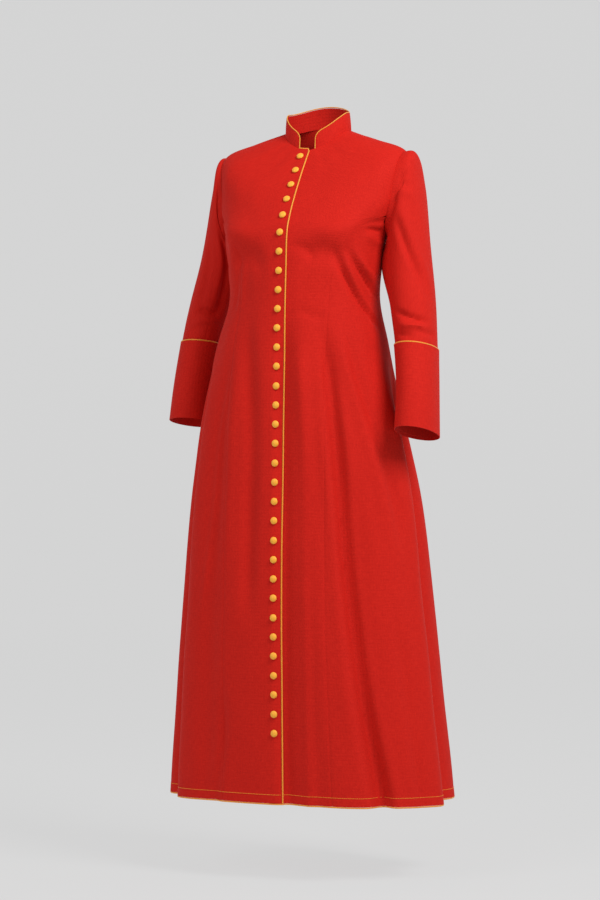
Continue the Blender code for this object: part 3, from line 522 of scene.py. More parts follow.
def shell_faces(columns, rows, closed):
    """Four-sided faces of a shell: the outer grid, the same turned round for the inner grid, which
    is numbered after it, and a band between the two along each cut edge."""
    count = columns if closed else columns - 1
    i, j = np.meshgrid(np.arange(count), np.arange(rows - 1), indexing="ij")
    after, inner = (i + 1) % columns, columns * rows
    quads = np.stack([i * rows + j, after * rows + j, after * rows + j + 1, i * rows + j + 1], -1)
    low, high = quads[:, 0], quads[:, -1]
    quads = quads.reshape(-1, 4)
    bands = [(low[:, 1], low[:, 0]), (high[:, 3], high[:, 2])]
    if not closed:
        j = np.arange(rows - 1)
        end = (columns - 1) * rows + j
        bands += [(j, j + 1), (end + 1, end)]
    bands = [np.stack([a, b, b + inner, a + inner], -1) for a, b in bands]
    return np.concatenate([quads, quads[:, ::-1] + inner, *bands])


def cloth_piece(name, node, outer, normals, thickness=CLOTH, closed=False):
    """A piece of the wool: a shell of the outer grid and the same grid moved in along the normals.
    Its cloth coordinates are metres along the rows and columns."""
    columns, rows = outer.shape[:2]
    faces = shell_faces(columns, rows, closed)
    mesh = bpy.data.meshes.new(name)
    points = np.concatenate([outer.reshape(-1, 3), (outer - normals * thickness).reshape(-1, 3)])
    mesh.vertices.add(len(points))
    mesh.vertices.foreach_set("co", points.astype(np.float32).ravel())
    mesh.loops.add(faces.size)
    mesh.loops.foreach_set("vertex_index", faces.astype(np.int32).ravel())
    mesh.polygons.add(len(faces))
    mesh.polygons.foreach_set("loop_start", np.arange(0, faces.size, 4, dtype=np.int32))
    mesh.polygons.foreach_set("use_smooth", np.ones(len(faces), bool))
    step_u = np.linalg.norm(np.diff(outer, axis=0), axis=-1)
    step_v = np.linalg.norm(np.diff(outer, axis=1), axis=-1)
    u = np.concatenate([np.zeros((1, rows)), np.cumsum(step_u, axis=0)])
    v = np.concatenate([np.zeros((columns, 1)), np.cumsum(step_v, axis=1)], axis=1)
    place = np.stack([u - u[columns // 2], v], -1).reshape(-1, 2)
    place = np.concatenate([place, place])[faces.ravel()]
    mesh.uv_layers.new(name="cloth").data.foreach_set("uv", place.astype(np.float32).ravel())
    mesh.update(calc_edges=True)
    mesh.validate()
    mesh.set_sharp_from_angle(angle=math.radians(CUT_EDGE_DEG))
    piece = on_gown(mesh, WOOL, node)


def body_panel(name, node, kind, side):
    """One panel: its turns and levels, the gown's surface there, and its grooves, hem and creases."""
    level = gown_levels(PRINCESS_TOP_LAP if kind.startswith("side") else 0.0)
    first, last = panel_edges(kind, level)
    is_front = kind == "centre_front"
    if side < 0:
        first, last = -last, turn_at_x(FRONT_EDGE_X, level) if is_front else -first
    turn = panel_columns(first, last, level)
    points = gown_surface(turn, level)
    normals = normals_of(gown_surface, *np.broadcast_arrays(turn, level))
    rise = gown_creases(turn, level) + hem_fold(level)
    princess_last = (kind in ("centre_front", "side_back")) == (side > 0)
    if not (is_front and side > 0):
        rise = rise + seam_groove(turn, first, level, not princess_last)
    if not (is_front and side < 0):
        rise = rise + seam_groove(turn, last, level, princess_last)
    else:
        rise = rise + lap_lift(turn, level)
    cloth_piece(name, node, points + normals * rise[..., None], normals)


body_panel("right_front_panel", "front_right_centre", "centre_front", -1)
body_panel("left_front_panel", "front_left_centre", "centre_front", 1)
for side, word in ((1, "left"), (-1, "right")):
    body_panel(f"{word}_side_front_panel", f"front_{word}_side", "side_front", side)
    body_panel(f"{word}_side_back_panel", f"back_{word}_side", "side_back", side)
    body_panel(f"{word}_back_panel", f"back_{word}_centre", "centre_back", side)

# The sleeves
# Each two-piece sleeve of the same wool is sewn into its armhole with a slightly raised head, and
# bends a little at the elbow. Its long seams run down the front and back of the arm.

ARM_COLUMNS = ("share", "x", "y", "z", "across", "fore", "roll_deg", "tip_deg")
LEFT_ARM = (
    (0.2, 0.201, -0.006, -0.147, 0.0743, 0.067, 66.2, 0.0),
    (0.36, 0.2108, -0.018, -0.226, 0.042, 0.06, 17.0, 2.0),
    (0.52, 0.224, -0.036, -0.319, 0.044, 0.059, 3.0, 5.0),
    (0.69, 0.2388, -0.054, -0.416, 0.04, 0.058, 0.0, 11.0),
    (0.87, 0.2485, -0.073, -0.512, 0.038, 0.06, 0.0, 12.0),
    (1.0, 0.2515, -0.085, -0.58, 0.04, 0.062, -2.0, 13.0),
)
RIGHT_ARM = (
    (0.2, -0.197, 0.003, -0.147, 0.0715, 0.067, 72.1, 0.0),
    (0.36, -0.21, 0.008, -0.226, 0.042, 0.06, 17.0, 0.0),
    (0.52, -0.235, 0.01, -0.315, 0.043, 0.059, 3.0, 3.0),
    (0.69, -0.256, 0.009, -0.401, 0.042, 0.058, 0.0, 9.0),
    (0.87, -0.272, 0.008, -0.497, 0.043, 0.06, 0.0, 9.0),
    (1.0, -0.28, 0.012, -0.556, 0.045, 0.062, 0.0, 9.0),
)
HEAD_SHARE, HEAD_OUT_LOW, HEAD_OUT_TOP_LEFT, HEAD_OUT_TOP_RIGHT = 0.045, 0.004, 0.014, 0.009
HEAD_UP_TOP, HEAD_DOWN_LOW = 0.001, 0.008
SLEEVE_SEAM_FRONT, SLEEVE_SEAM_BACK, SLEEVE_SEAM_DIP = 0.7 * np.pi, 1.4 * np.pi, 0.0005
SLEEVE_ROWS, SLEEVE_COLUMN_STEP, ARM_RADIUS, ARM_LENGTH = 120, 0.0042, 0.052, 0.50
HEAD_ROWS = np.array([0.0, 0.08, 0.17, 0.28, 0.42, 0.6, 0.8])
SLEEVE_UNEVEN_RISE, SMOOTH_UNDER_CUFF, SMOOTH_EASE = 0.0004, 0.69, 0.03

# Sleeve creases in the same columns, with the lap round the arm and the share of its length.
SLEEVE_BACK_CREASES = (
    (200.0, 0.5, 300.0, 0.6, -0.004, 0.009, 0.1),
    (220.0, 0.4, 290.0, 0.48, -0.0034, 0.01, -0.1),
    (210.0, 0.62, 300.0, 0.64, -0.0036, 0.007, 0.06),
    (250.0, 0.1, 320.0, 0.24, -0.0034, 0.007, 0.08),
)
LEFT_SLEEVE_CREASES = (
    (74.0, 0.02, 38.0, 0.165, -0.0044, 0.005, 0.02),
    (80.0, 0.06, 34.0, 0.226, -0.0056, 0.005, 0.02),
    (94.0, 0.07, 26.0, 0.262, 0.0036, 0.006, 0.02),
    (98.0, 0.2, 8.0, 0.56, -0.0056, 0.0075, 0.04),
    (90.0, 0.15, 4.0, 0.5, 0.004, 0.01, 0.04),
    (90.0, 0.28, 26.0, 0.49, -0.003, 0.009, 0.05),
    (116.0, 0.18, 10.0, 0.52, 0.0024, 0.013, 0.06),
    (128.0, 0.566, 16.0, 0.612, -0.007, 0.006, 0.05),
    (122.0, 0.618, 30.0, 0.63, 0.0054, 0.0055, 0.04),
    (136.0, 0.645, 62.0, 0.675, -0.0042, 0.0055, 0.04),
    (72.0, 0.638, -6.0, 0.648, -0.0042, 0.006, 0.04),
    (176.0, 0.04, 184.0, 0.56, 0.0205, 0.03, 0.02),
)
RIGHT_SLEEVE_CREASES = (
    (50.0, 0.04, 124.0, 0.18, -0.0032, 0.006, 0.08),
    (114.0, 0.19, 142.0, 0.64, -0.0066, 0.0085, 0.03),
    (94.0, 0.18, 128.0, 0.58, 0.0038, 0.011, 0.05),
    (66.0, 0.24, 92.0, 0.59, -0.003, 0.011, 0.04),
    (76.0, 0.56, 152.0, 0.58, -0.0062, 0.0065, 0.04),
    (72.0, 0.62, 158.0, 0.608, 0.0038, 0.007, 0.06),
    (30.0, 0.638, 118.0, 0.66, -0.0038, 0.006, 0.05),
    (178.0, 0.1, 184.0, 0.56, 0.008, 0.03, 0.02),
)


def arm_ring(row, lap):
    """One ring of a sleeve: an oval, rolled so that its outer side rises, tipped so its front does."""
    ring = dict(zip(ARM_COLUMNS, row))
    roll, tip = math.radians(ring["roll_deg"]), math.radians(ring["tip_deg"])
    outward, ahead = ring["across"] * np.cos(lap), ring["fore"] * np.sin(lap)
    x = ring["x"] + math.copysign(1.0, ring["x"]) * outward * math.cos(roll)
    y = ring["y"] - ahead * math.cos(tip)
    z = ring["z"] + outward * math.sin(roll) + ahead * math.sin(tip)
    return np.stack([x, y, z], -1)


def sleeve_surface(side, lap, share):
    """The outside of a sleeve: cubic lines run from the armhole's edge over the raised head and
    through the arm's rings. Lap is the angle round it, and share is 0 at the armhole, 1 at the hem."""
    lap, share = np.broadcast_arrays(np.asarray(lap, float), np.asarray(share, float))
    turn, level = hole_edge(lap)
    seam = gown_surface(side * turn, level)
    seam = seam - SEAM_DIP * normals_of(gown_surface, side * turn, level)
    top = (1 + np.cos(lap)) / 2
    head_out = HEAD_OUT_TOP_LEFT if side > 0 else HEAD_OUT_TOP_RIGHT
    out = side * (HEAD_OUT_LOW + (head_out - HEAD_OUT_LOW) * top)
    push = np.stack([out, np.zeros(lap.shape), HEAD_UP_TOP * top - HEAD_DOWN_LOW * (1 - top)], -1)
    arm = LEFT_ARM if side > 0 else RIGHT_ARM
    knots = np.array([0.0, HEAD_SHARE] + [row[0] for row in arm])
    lines = np.stack([seam, seam + push] + [arm_ring(row, lap) for row in arm])
    slopes = np.gradient(lines, knots, axis=0)
    piece = np.clip(np.searchsorted(knots, share, side="right") - 1, 0, len(knots) - 2)
    where = np.indices(lap.shape)
    return cubic(knots, lambda k: lines[(k, *where)], lambda k: slopes[(k, *where)], piece, share)


def sleeve_creases(side, lap, share):
    """The sleeve's creases, and a slight unevenness from two long crossed waves."""
    rows = (LEFT_SLEEVE_CREASES if side > 0 else RIGHT_SLEEVE_CREASES) + SLEEVE_BACK_CREASES
    out = creases_round(lap, share, rows, ARM_RADIUS, ARM_LENGTH)
    uneven = np.sin(3 * lap + 9 * share) * np.sin(11 * share + 1.3) + 0.6 * np.sin(5 * lap - 14 * share)
    return out * eased(share / 0.06) + SLEEVE_UNEVEN_RISE * uneven * eased(share / 0.1)


def sleeve_grid(side, lap, share):
    """Outside points and outward normals of a sleeve, with its columns in the order a shell needs."""
    lap, share = np.meshgrid(lap[::side], share, indexing="ij")
    normals = side * normals_of(lambda u, v: sleeve_surface(side, u, v), lap, share)
    return lap, share, sleeve_surface(side, lap, share), normals


def sleeve_piece(name, node, side, first, last):
    """A top or an under sleeve between the two long seams, with its creases and turned-in edges."""
    near = EDGE_STEPS / ARM_RADIUS
    count = int((last - first) * ARM_RADIUS / SLEEVE_COLUMN_STEP)
    middle = np.linspace(first + near[-1], last - near[-1], count)
    lap = np.concatenate([first + near[:-1], middle, (last - near[:-1])[::-1]])
    share = np.concatenate([HEAD_SHARE * HEAD_ROWS, np.linspace(HEAD_SHARE, 1.0, SLEEVE_ROWS)])
    lap, share, points, normals = sleeve_grid(side, lap, share)
    rise = sleeve_creases(side, lap, share) * eased((SMOOTH_UNDER_CUFF - share) / SMOOTH_EASE)
    for edge in (first, last):
        rise -= SLEEVE_SEAM_DIP * np.exp(-(((lap - edge) * ARM_RADIUS / SEAM_WIDTH) ** 2))
    cloth_piece(name, node, points + normals * rise[..., None], normals)


for side, word in ((1, "left"), (-1, "right")):
    front, back = SLEEVE_SEAM_FRONT, SLEEVE_SEAM_BACK
    sleeve_piece(f"{word}_top_sleeve", f"sleeve_{word}_top", side, back - 2 * np.pi, front)
    sleeve_piece(f"{word}_under_sleeve", f"sleeve_{word}_under", side, front, back)

# The cuffs
# Deep cuffs of the same wool, turned back over the lower end of the sleeves and tacked on the
# inside, a little longer than the sleeve itself.

CUFF_TOP_SHARE, CUFF_STAND, CUFF_OVERHANG, CUFF_ROWS = 0.693, 0.0008, 0.006, 60
CUFF_LAPS = np.arange(90) * 2 * np.pi / 90


def cuff_shape(side, lap, share):
    """The cuff's outside: the sleeve's surface moved out, its last stretch drawn on past the sleeve."""
    lap, share, sleeve, normals = sleeve_grid(side, lap, share)
    along = sleeve[:, -1] - sleeve[:, -2]
    along /= np.linalg.norm(along, axis=-1, keepdims=True)
    stretch = eased((share - 0.90) / 0.10)[..., None] * CUFF_OVERHANG
    uneven = 0.0005 * np.sin(2 * lap + 5 * share + side) + 0.0003 * np.sin(5 * lap - 9 * share)
    lift = CUFF_STAND + CLOTH + uneven * eased((share - CUFF_TOP_SHARE) / 0.05)
    return sleeve + normals * lift[..., None] + along[:, None] * stretch, normals


for side, word in ((1, "left"), (-1, "right")):
    outer, normals = cuff_shape(side, CUFF_LAPS, np.linspace(CUFF_TOP_SHARE, 1.0, CUFF_ROWS))
    cloth_piece(f"{word}_cuff", f"cuff_{word}", outer, normals, closed=True)

# The collar
# A stiffened stand band of the wool, sewn to the neck edge. Its two rounded front corners stand
# apart and leave a notch at the throat.

COLLAR_CLOTH, COLLAR_FRONT_HEIGHT, COLLAR_BACK_HEIGHT = 0.0022, 0.032, 0.040
COLLAR_LEAN, COLLAR_CORNER, COLLAR_RADIUS, COLLAR_END_X = 0.09, 0.011, 0.062, 0.0190
COLLAR_CORNER_COLUMNS, COLLAR_COLUMNS, COLLAR_ROWS, COLLAR_SINK = 14, 110, 14, 0.0012
COLLAR_SWELL = 0.0006


def collar_ends():
    """The turns of the collar's left end and, going on round the back, of its right end."""
    end = float(turn_at_x(COLLAR_END_X, np.array(NECK_LEVEL)))
    return end, 2 * np.pi - end


def collar_height(turn):
    """The full height, which grows from front to back as half of one less cosine."""
    return COLLAR_FRONT_HEIGHT + (COLLAR_BACK_HEIGHT - COLLAR_FRONT_HEIGHT) * (1 - np.cos(turn)) / 2


def collar_surface(turn, height):
    """The outside of the collar: from the neck's edge straight up its height, leaning inwards."""
    turn, height = np.broadcast_arrays(turn, height)
    base = gown_surface(turn, NECK_LEVEL)
    outward = normals_of(gown_surface, turn, np.full(turn.shape, NECK_LEVEL))
    outward[..., 2] = 0.0
    outward /= np.linalg.norm(outward, axis=-1, keepdims=True)
    rise = (height - COLLAR_SINK)[..., None]
    return base + rise * (np.array([0.0, 0.0, math.cos(COLLAR_LEAN)]) - math.sin(COLLAR_LEAN) * outward)


def collar_columns():
    """Turns of the collar's columns, closer together in the two rounded corners."""
    first, last = collar_ends()
    corner = COLLAR_CORNER / COLLAR_RADIUS
    near = corner * (1 - np.cos(np.linspace(0.0, np.pi / 2, COLLAR_CORNER_COLUMNS)))
    middle = np.linspace(first + corner, last - corner, COLLAR_COLUMNS)
    return np.concatenate([first + near[:-1], middle, (last - near[:-1])[::-1]])


def corner_drop(turn):
    """How far a rounded corner lies below the full height: a quarter circle's edge."""
    first, last = collar_ends()
    inward = np.minimum(turn - first, last - turn) * COLLAR_RADIUS
    across = np.clip(1 - inward / COLLAR_CORNER, 0.0, 1.0)
    return COLLAR_CORNER * (1 - np.sqrt(1 - across**2))


turn = collar_columns()
top = collar_height(turn) - corner_drop(turn) + COLLAR_SINK + SEAM_GAP
turn, height = np.broadcast_arrays(turn[:, None], top[:, None] * np.linspace(0.0, 1.0, COLLAR_ROWS))
normals = normals_of(collar_surface, turn, height)
swell = COLLAR_SWELL * np.sin(np.pi * height / COLLAR_BACK_HEIGHT)
outer = collar_surface(turn, height) + normals * swell[..., None]
cloth_piece("stand_collar", "collar_stand", outer, normals, COLLAR_CLOTH)

# The piping
# A fine gold cord is sewn along the front edge, round the collar, at the top of each cuff and under
# the hem. It is a covered cord, so a slight slanting twist shows along it.

PIPING_RADIUS, FINE_PIPING_RADIUS, CUFF_PIPING_RADIUS, PIPING_SIDES = 0.0015, 0.0011, 0.0014, 10
GOLD_DEEP, GOLD_BRIGHT = (0.72, 0.20, 0.010), (0.95, 0.40, 0.030)
TOP_PIPING_START_X, TOP_PIPING_STEPS, FRONT_CORNER = -0.0150, 12, 0.0030
COLLAR_PIPING_START, CUFF_PIPING_STAND, HEM_PIPING_STEPS, SHARP_DEG = 0.0012, 0.0002, 170, 60
HEM_BACK_RADIUS = 0.4
HEM_GAP_TURN = 0.5 * SEAM_GAP / HEM_BACK_RADIUS


def patterned(name, roughness, dark, light, place, pattern, bump=None, **finish):
    """A material whose colour runs from dark to light with the pattern, as its bump does."""
    made, nodes, links, shader = new_material(name, roughness, **finish)
    kind, inputs, settings = pattern
    pattern = add(nodes, kind, inputs, **settings)
    source = add(nodes, "TexCoord") if place == "Object" else add(nodes, "UVMap", uv_map=place)
    links.new(source.outputs["Object" if place == "Object" else "UV"], pattern.inputs["Vector"])
    ramp = colour_ramp(nodes, dark, light)
    links.new(pattern.outputs["Fac"], ramp.inputs["Fac"])
    links.new(ramp.outputs["Color"], shader.inputs["Base Color"])
    if bump:
        raised = add(nodes, "Bump", {"Strength": bump, "Distance": 0.0003})
        links.new(pattern.outputs["Fac"], raised.inputs["Height"])
        links.new(raised.outputs["Normal"], shader.inputs["Normal"])
    return made


# Slanting bands run along the cord.
TWIST = ("TexWave", {"Scale": 160.0, "Distortion": 1.0, "Detail": 1.0}, {"bands_direction": "DIAGONAL"})
GOLD_PIPING = patterned(
    "gold_piping", 0.5, GOLD_DEEP, GOLD_BRIGHT, "cord", TWIST, 0.4,
    Specular_IOR_Level=0.4, Sheen_Weight=0.2,
)


def unit(vectors):
    """The vectors at length one."""
    return vectors / np.linalg.norm(vectors, axis=-1, keepdims=True)


def run_along(path):
    """How far along the path each of its points lies."""
    return np.concatenate([[0.0], np.cumsum(np.linalg.norm(np.diff(path, axis=0), axis=1))])


def circle(sides, first, second):
    """Points round a unit circle for each pair of directions: cosine of one plus sine of the other."""
    angle = np.arange(sides) * 2 * np.pi / sides
    return np.cos(angle)[:, None] * first[..., None, :] + np.sin(angle)[:, None] * second[..., None, :]


def tube_faces(rings, sides, closed=False):
    """Four-sided faces between each ring of points and the next, and last to first if closed."""
    i, k = np.meshgrid(np.arange(rings if closed else rings - 1), np.arange(sides), indexing="ij")
    low, high, turned = i * sides, (i + 1) % rings * sides, (k + 1) % sides
    return np.stack([low + k, low + turned, high + turned, high + k], -1).reshape(-1, 4)


def piping(name, node, path, outward, radius, closed=False):
    """A round cord: a circle carried along the path, square to it. An open cord ends in flat caps."""
    if closed:
        along = np.roll(path, -1, axis=0) - np.roll(path, 1, axis=0)
    else:
        along = np.gradient(path, axis=0)
    along = unit(along)
    first = unit(outward - along * (outward * along).sum(1, keepdims=True))
    ring = circle(PIPING_SIDES, first, np.cross(along, first))
    points = (path[:, None] + radius * ring).reshape(-1, 3)
    faces, caps = tube_faces(len(path), PIPING_SIDES, closed), []
    if not closed:
        cap = np.arange(PIPING_SIDES)
        caps = [cap[::-1].tolist(), (cap + len(points) - PIPING_SIDES).tolist()]
    mesh = bpy.data.meshes.new(name)
    mesh.from_pydata(points, [], faces.tolist() + caps)
    corner = np.concatenate([faces.ravel(), *caps])
    around = np.abs(corner % PIPING_SIDES - PIPING_SIDES / 2) * radius
    place = np.stack([run_along(path)[corner // PIPING_SIDES], around], -1)
    mesh.uv_layers.new(name="cord").data.foreach_set("uv", place.astype(np.float32).ravel())
    mesh.shade_smooth()
    mesh.set_sharp_from_angle(angle=math.radians(SHARP_DEG))
    on_gown(mesh, GOLD_PIPING, node)


# On the front edge it runs along the top of the right front, round the corner and down to the hem.
offset = PIPING_RADIUS + SEAM_GAP
level = gown_levels(0.0)
edge_turn = turn_at_x(FRONT_EDGE_X, level)
edge_normals = normals_of(gown_surface, edge_turn, level)
edge_rise = offset + gown_creases(edge_turn, level)
edge = gown_surface(edge_turn, level) + edge_normals * edge_rise[:, None]
edge[:, 0] += offset
keep = level < NECK_LEVEL - FRONT_CORNER
top_x = np.linspace(TOP_PIPING_START_X, FRONT_EDGE_X - FRONT_CORNER / 2, TOP_PIPING_STEPS)
top_turn = turn_at_x(top_x, np.full(top_x.shape, NECK_LEVEL))
top_level = np.full(top_x.shape, NECK_LEVEL)
top_normals = normals_of(gown_surface, top_turn, top_level)
rise_up = unit(gown_surface(top_turn, top_level) - gown_surface(top_turn, top_level - 0.01))
top_edge = gown_surface(top_turn, top_level) + top_normals * (LAP_LIFT - CLOTH / 2) + rise_up * offset
path = np.concatenate([top_edge, edge[keep][::-1]])
normals = np.concatenate([top_normals, edge_normals[keep][::-1]])
piping("front_piping", "piping_front", path, normals, PIPING_RADIUS)

# Round the collar it runs up one end, along the top and down the other end.
offset = FINE_PIPING_RADIUS + 2 * SEAM_GAP
angle = np.linspace(0.0, np.pi / 2, COLLAR_CORNER_COLUMNS)
first, last = collar_ends()
corner, stand = COLLAR_CORNER / COLLAR_RADIUS, offset / COLLAR_RADIUS
round_corner = corner - (corner + stand) * np.cos(angle)
straight = np.linspace(first + corner, last - corner, COLLAR_COLUMNS)[1:-1]
turn = np.concatenate([
    [first - stand], first + round_corner, straight, (last - round_corner)[::-1], [last + stand],
])
drop = (COLLAR_CORNER + offset) * (1 - np.sin(angle))
height = collar_height(turn) + offset + COLLAR_SINK + SEAM_GAP
height[1 : 1 + COLLAR_CORNER_COLUMNS] -= drop
height[-1 - COLLAR_CORNER_COLUMNS : -1] -= drop[::-1]
height[0] = height[-1] = COLLAR_PIPING_START
normals = normals_of(collar_surface, turn, height)
path = collar_surface(turn, height) - normals * COLLAR_CLOTH / 2
piping("collar_piping", "piping_collar", path, normals, FINE_PIPING_RADIUS)

# At each cuff it closes round the top edge.
for side, word in ((1, "left"), (-1, "right")):
    _, _, edge, normals = sleeve_grid(side, CUFF_LAPS, np.array([CUFF_TOP_SHARE, 0.79]))
    rise = FINE_PIPING_RADIUS + SEAM_GAP
    path = edge[:, 0] + unit(edge[:, 0] - edge[:, 1]) * rise + normals[:, 0] * (rise + CUFF_PIPING_STAND)
    outward = normals[:, 0]
    piping(f"{word}_cuff_piping", f"piping_cuff_{word}", path, outward, CUFF_PIPING_RADIUS, closed=True)


def round_the_hem(side, count, level, start_x):
    """Turns from the front round to the centre back, the left or the right half."""
    start = float(turn_at_x(start_x, np.array(level)))
    return np.linspace(start, side * (np.pi - HEM_GAP_TURN), count)


def hem_path(side, turn, level):
    """Points and normals round the gown at one level, on the outer face of the cloth."""
    level = np.full(turn.shape, level)
    normals = normals_of(gown_surface, turn, level)
    rise = gown_creases(turn, level) + (lap_lift(turn, level) if side < 0 else 0.0)
    return gown_surface(turn, level) + normals * rise[:, None], normals


# Under the hem it runs in two lengths, from each front edge round to the centre back.
offset = PIPING_RADIUS + SEAM_GAP
for side, word in ((1, "left"), (-1, "right")):
    start_x = UNDERLAP_X if side > 0 else FRONT_EDGE_X + PIPING_RADIUS + offset
    turn = round_the_hem(side, HEM_PIPING_STEPS, HEM_LEVEL, start_x)
    path, normals = hem_path(side, turn, HEM_LEVEL)
    path = path - normals * CLOTH / 2
    path[:, 2] -= offset
    piping(f"{word}_hem_piping", f"piping_hem_{word}", path, normals, PIPING_RADIUS)

# The hem stitching
# The hem is turned up and sewn with one line of thick gold thread, a stitch of about 3 mm at a time.

STITCH_LENGTH, STITCH_GAP, STITCH_RADIUS, STITCH_SIDES = 0.0031, 0.0006, 0.00055, 5
STITCH_PROFILE = ((0.0, 0.35), (0.12, 0.85), (0.5, 1.0), (0.88, 0.85), (1.0, 0.35))
STITCH_START_IN, STITCH_STEPS, STITCH_STAND = 0.001, 400, 0.0002
FINE_GRAIN = ("TexNoise", {"Scale": 500.0, "Detail": 2.0}, {})
THREAD = patterned(
    "gold_thread", 0.55, GOLD_DEEP, GOLD_BRIGHT, "Object", FINE_GRAIN, Specular_IOR_Level=0.4
)


def stitches(name, path, normals):
    """Each stitch is a short spindle laid along the path: its profile's radii round a straight line
    between two points of the path. All stitches are worked out at once as one array."""
    run = run_along(path)
    starts = np.arange(0.0, run[-1] - STITCH_LENGTH, STITCH_LENGTH + STITCH_GAP)
    low, high, facing = (
        np.stack([np.interp(at, run, line[:, k]) for k in range(3)], -1)
        for at, line in ((starts, path), (starts + STITCH_LENGTH, path), (starts, normals))
    )
    facing, along = unit(facing), unit(high - low)
    spoke = circle(STITCH_SIDES, facing, np.cross(along, facing))
    share, radius = np.array(STITCH_PROFILE).T
    middle = low[:, None] + (high - low)[:, None] * share[None, :, None]
    points = middle[:, :, None] + (radius * STITCH_RADIUS)[None, :, None, None] * spoke[:, None]
    base = (np.arange(len(starts)) * len(share) * STITCH_SIDES)[:, None]
    quads = (base[..., None] + tube_faces(len(share), STITCH_SIDES)[:, ::-1]).reshape(-1, 4)
    side = np.arange(STITCH_SIDES)
    caps = [base + side, base + (len(share) - 1) * STITCH_SIDES + side[::-1]]
    mesh = bpy.data.meshes.new(name)
    mesh.from_pydata(points.reshape(-1, 3), [], quads.tolist() + np.concatenate(caps).tolist())
    mesh.shade_smooth()
    on_gown(mesh, THREAD)


for side, word in ((1, "left"), (-1, "right")):
    level = HEM_LEVEL + HEM_STITCH_RISE
    turn = round_the_hem(side, STITCH_STEPS, level, FRONT_EDGE_X - STITCH_START_IN)
    path, normals = hem_path(side, turn, level)
    stitches(f"{word}_hem_stitches", path + normals * STITCH_STAND, normals)

# The buttons
# Small domed buttons covered in golden cloth are sewn in one close row down the right front, each
# pulled down on its shank so that its rim meets the wool.

BUTTON_COUNT, BUTTON_SIDES, BUTTON_LINE_STEPS = 32, 28, 1200
BUTTON_PROFILE = (
    (0.0054, 0.0), (0.0066, 0.0004), (0.0072, 0.0012), (0.0072, 0.0019), (0.0067, 0.003), (0.0057, 0.0039),
    (0.0044, 0.0046), (0.0029, 0.0051), (0.0014, 0.0054),
)
BUTTON_CROWN = 0.0055
BUTTON_DEEP, BUTTON_BRIGHT = (0.93, 0.37, 0.017), (0.98, 0.49, 0.042)
BUTTON_GRAIN = ("TexNoise", {"Scale": 900.0, "Detail": 2.0}, {})
BUTTON_GOLD = patterned(
    "button_cloth", 0.5, BUTTON_DEEP, BUTTON_BRIGHT, "Object", BUTTON_GRAIN, 0.3,
    Specular_IOR_Level=0.45, Sheen_Weight=0.3, Sheen_Tint=(1.0, 0.8, 0.4, 1.0),
)

line_level = np.linspace(HEM_LEVEL, NECK_LEVEL, BUTTON_LINE_STEPS)
line_turn = turn_at_x(BUTTON_LINE_X, line_level)
line_normals = normals_of(gown_surface, line_turn, line_level)
line_rise = LAP_LIFT + gown_creases(line_turn, line_level)
line_points = gown_surface(line_turn, line_level) + line_normals * line_rise[:, None]


def button(number):
    """A turned shape: the profile's radii and rises carried round the normal of the front there."""
    name = f"button_{number:02d}"
    low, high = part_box(name)
    middle = (low + high) / 2
    nearest = np.argmin(np.linalg.norm(line_points - np.array(middle), axis=1))
    normal = line_normals[nearest]
    place = line_points[nearest] + normal * SEAM_GAP
    right = unit(np.cross([0.0, 0.0, 1.0], -normal))
    spoke = circle(BUTTON_SIDES, right, np.cross(normal, right))
    radius, rise = np.array(BUTTON_PROFILE).T
    points = place + rise[:, None, None] * normal + radius[:, None, None] * spoke[None]
    points = np.concatenate([points.reshape(-1, 3), [place + normal * BUTTON_CROWN]])
    rim, k = (len(radius) - 1) * BUTTON_SIDES, np.arange(BUTTON_SIDES)
    crown = np.stack([rim + k, rim + (k + 1) % BUTTON_SIDES, np.full(BUTTON_SIDES, len(points) - 1)], -1)
    faces = tube_faces(len(radius), BUTTON_SIDES).tolist() + crown.tolist() + [k[::-1].tolist()]
    mesh = bpy.data.meshes.new(f"{name}_cover")
    mesh.from_pydata(points, [], faces)
    mesh.shade_smooth()
    mesh.set_sharp_from_angle(angle=math.radians(SHARP_DEG))
    on_gown(mesh, BUTTON_GOLD, name)


for number in range(1, BUTTON_COUNT + 1):
    button(number)

# The studio
# A round, pale, seamless studio glows evenly behind the gown and is dimmer behind the camera. A soft
# lamp stands to the camera's right, a weaker one to its left, and the camera is level with the waist.

FLOOR_Z, FLOOR_RADIUS, SWEEP_RADIUS, WALL_TOP, STUDIO_SIDES = -1.475, 9.2, 1.6, 6.0, 96
STAGE_GREY, STAGE_GLOW_BACK, STAGE_GLOW_FRONT, AIR_GLOW = 0.10, 0.61, 0.14, 0.20
GLOW_FROM, GLOW_TO = 0.8, 6.0
CAMERA_PLACE, CAMERA_AZIMUTH_DEG = (2.314, -5.536, -0.619), 23.0
CAMERA_LENS, CAMERA_SENSOR = 117.84, 36.0
# Each lamp's azimuth, distance, height, the height it aims at, its size and its power.
LIGHTS = (
    ("key_light", 63.0, 3.1, 2.2, 0.20, 1.6, 146.0),
    ("fill_light", -18.0, 4.0, 1.9, 0.10, 2.6, 68.0),
)
camera_turn = math.radians(CAMERA_AZIMUTH_DEG)
camera_way = (math.sin(camera_turn), -math.cos(camera_turn), 0.0)
angle = np.linspace(0.0, np.pi / 2, 16)
wall_radius = FLOOR_RADIUS + SWEEP_RADIUS
stage_radius = np.concatenate([
    [0.5, 3.0, 6.0], FLOOR_RADIUS + SWEEP_RADIUS * np.sin(angle), [wall_radius],
])
stage_z = np.concatenate([[0.0] * 3, SWEEP_RADIUS * (1 - np.cos(angle)), [WALL_TOP - FLOOR_Z]])
rings = circle(STUDIO_SIDES, np.array([1.0, 0.0, 0.0]), np.array([0.0, 1.0, 0.0]))
stage_points = stage_radius[:, None, None] * rings
stage_points[..., 2] += stage_z[:, None] + FLOOR_Z
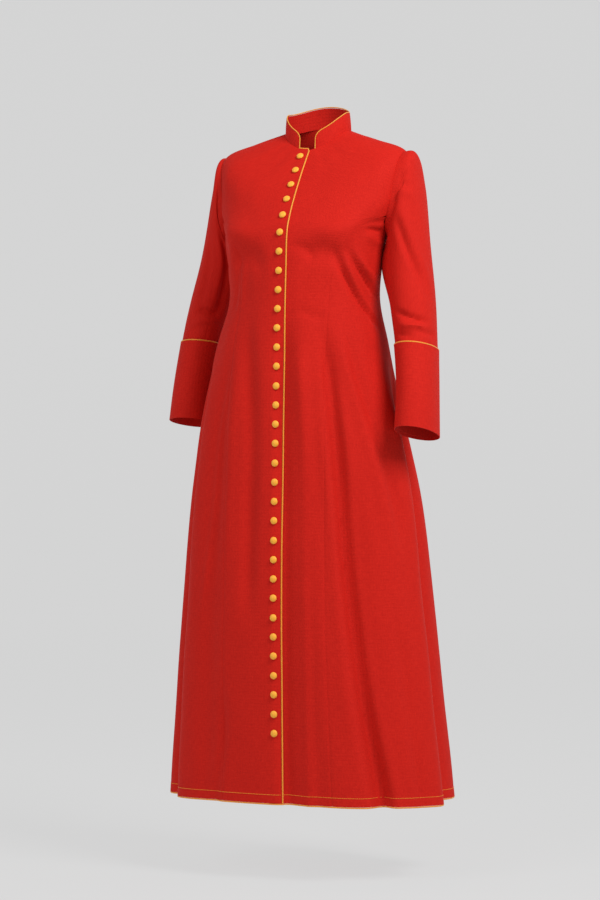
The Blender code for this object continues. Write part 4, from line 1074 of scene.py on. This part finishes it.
stage_faces = tube_faces(len(stage_z), STUDIO_SIDES)[:, ::-1].tolist()
mesh = bpy.data.meshes.new("studio")
mesh.from_pydata(stage_points.reshape(-1, 3), [], stage_faces + [list(range(STUDIO_SIDES))])
mesh.shade_smooth()
stage_paint, nodes, links, shader = new_material("studio_paint", 0.9, Specular_IOR_Level=0.0)
shader.inputs["Base Color"].default_value = (STAGE_GREY, STAGE_GREY, STAGE_GREY, 1.0)
shader.inputs["Emission Color"].default_value = (1.0, 1.0, 1.0, 1.0)
stage_place = add(nodes, "TexCoord")
stage_way = add(nodes, "VectorMath", {1: camera_way}, operation="DOT_PRODUCT")
glow_steps = {
    "From Min": GLOW_FROM, "From Max": GLOW_TO, "To Min": STAGE_GLOW_BACK, "To Max": STAGE_GLOW_FRONT,
}
stage_glow = add(nodes, "MapRange", glow_steps, interpolation_type="SMOOTHSTEP")
links.new(stage_place.outputs["Object"], stage_way.inputs[0])
links.new(stage_way.outputs["Value"], stage_glow.inputs["Value"])
links.new(stage_glow.outputs["Result"], shader.inputs["Emission Strength"])
mesh.materials.append(stage_paint)
studio = bpy.data.objects.new("studio", mesh)
bpy.context.scene.collection.objects.link(studio)

world = bpy.data.worlds.new("studio_air")
world.use_nodes = True
world.node_tree.nodes["Background"].inputs["Color"].default_value = (1.0, 1.0, 1.0, 1.0)
world.node_tree.nodes["Background"].inputs["Strength"].default_value = AIR_GLOW
bpy.context.scene.world = world
for name, azimuth, distance, height, target, size, power in LIGHTS:
    lamp = bpy.data.lights.new(name, "AREA")
    lamp.size, lamp.energy = size, power
    holder = bpy.data.objects.new(name, lamp)
    way = math.radians(azimuth)
    holder.location = (distance * math.sin(way), -distance * math.cos(way), height)
    holder.rotation_euler = (math.atan2(distance, height - target), 0.0, way)
    bpy.context.scene.collection.objects.link(holder)

camera = bpy.data.cameras.new("camera")
camera.lens, camera.sensor_width = CAMERA_LENS, CAMERA_SENSOR
camera_holder = bpy.data.objects.new("camera", camera)
camera_holder.location = CAMERA_PLACE
camera_holder.rotation_euler = (math.pi / 2, 0.0, camera_turn)
bpy.context.scene.collection.objects.link(camera_holder)
bpy.context.scene.camera = camera_holder
bpy.context.scene.view_settings.view_transform = "Standard"
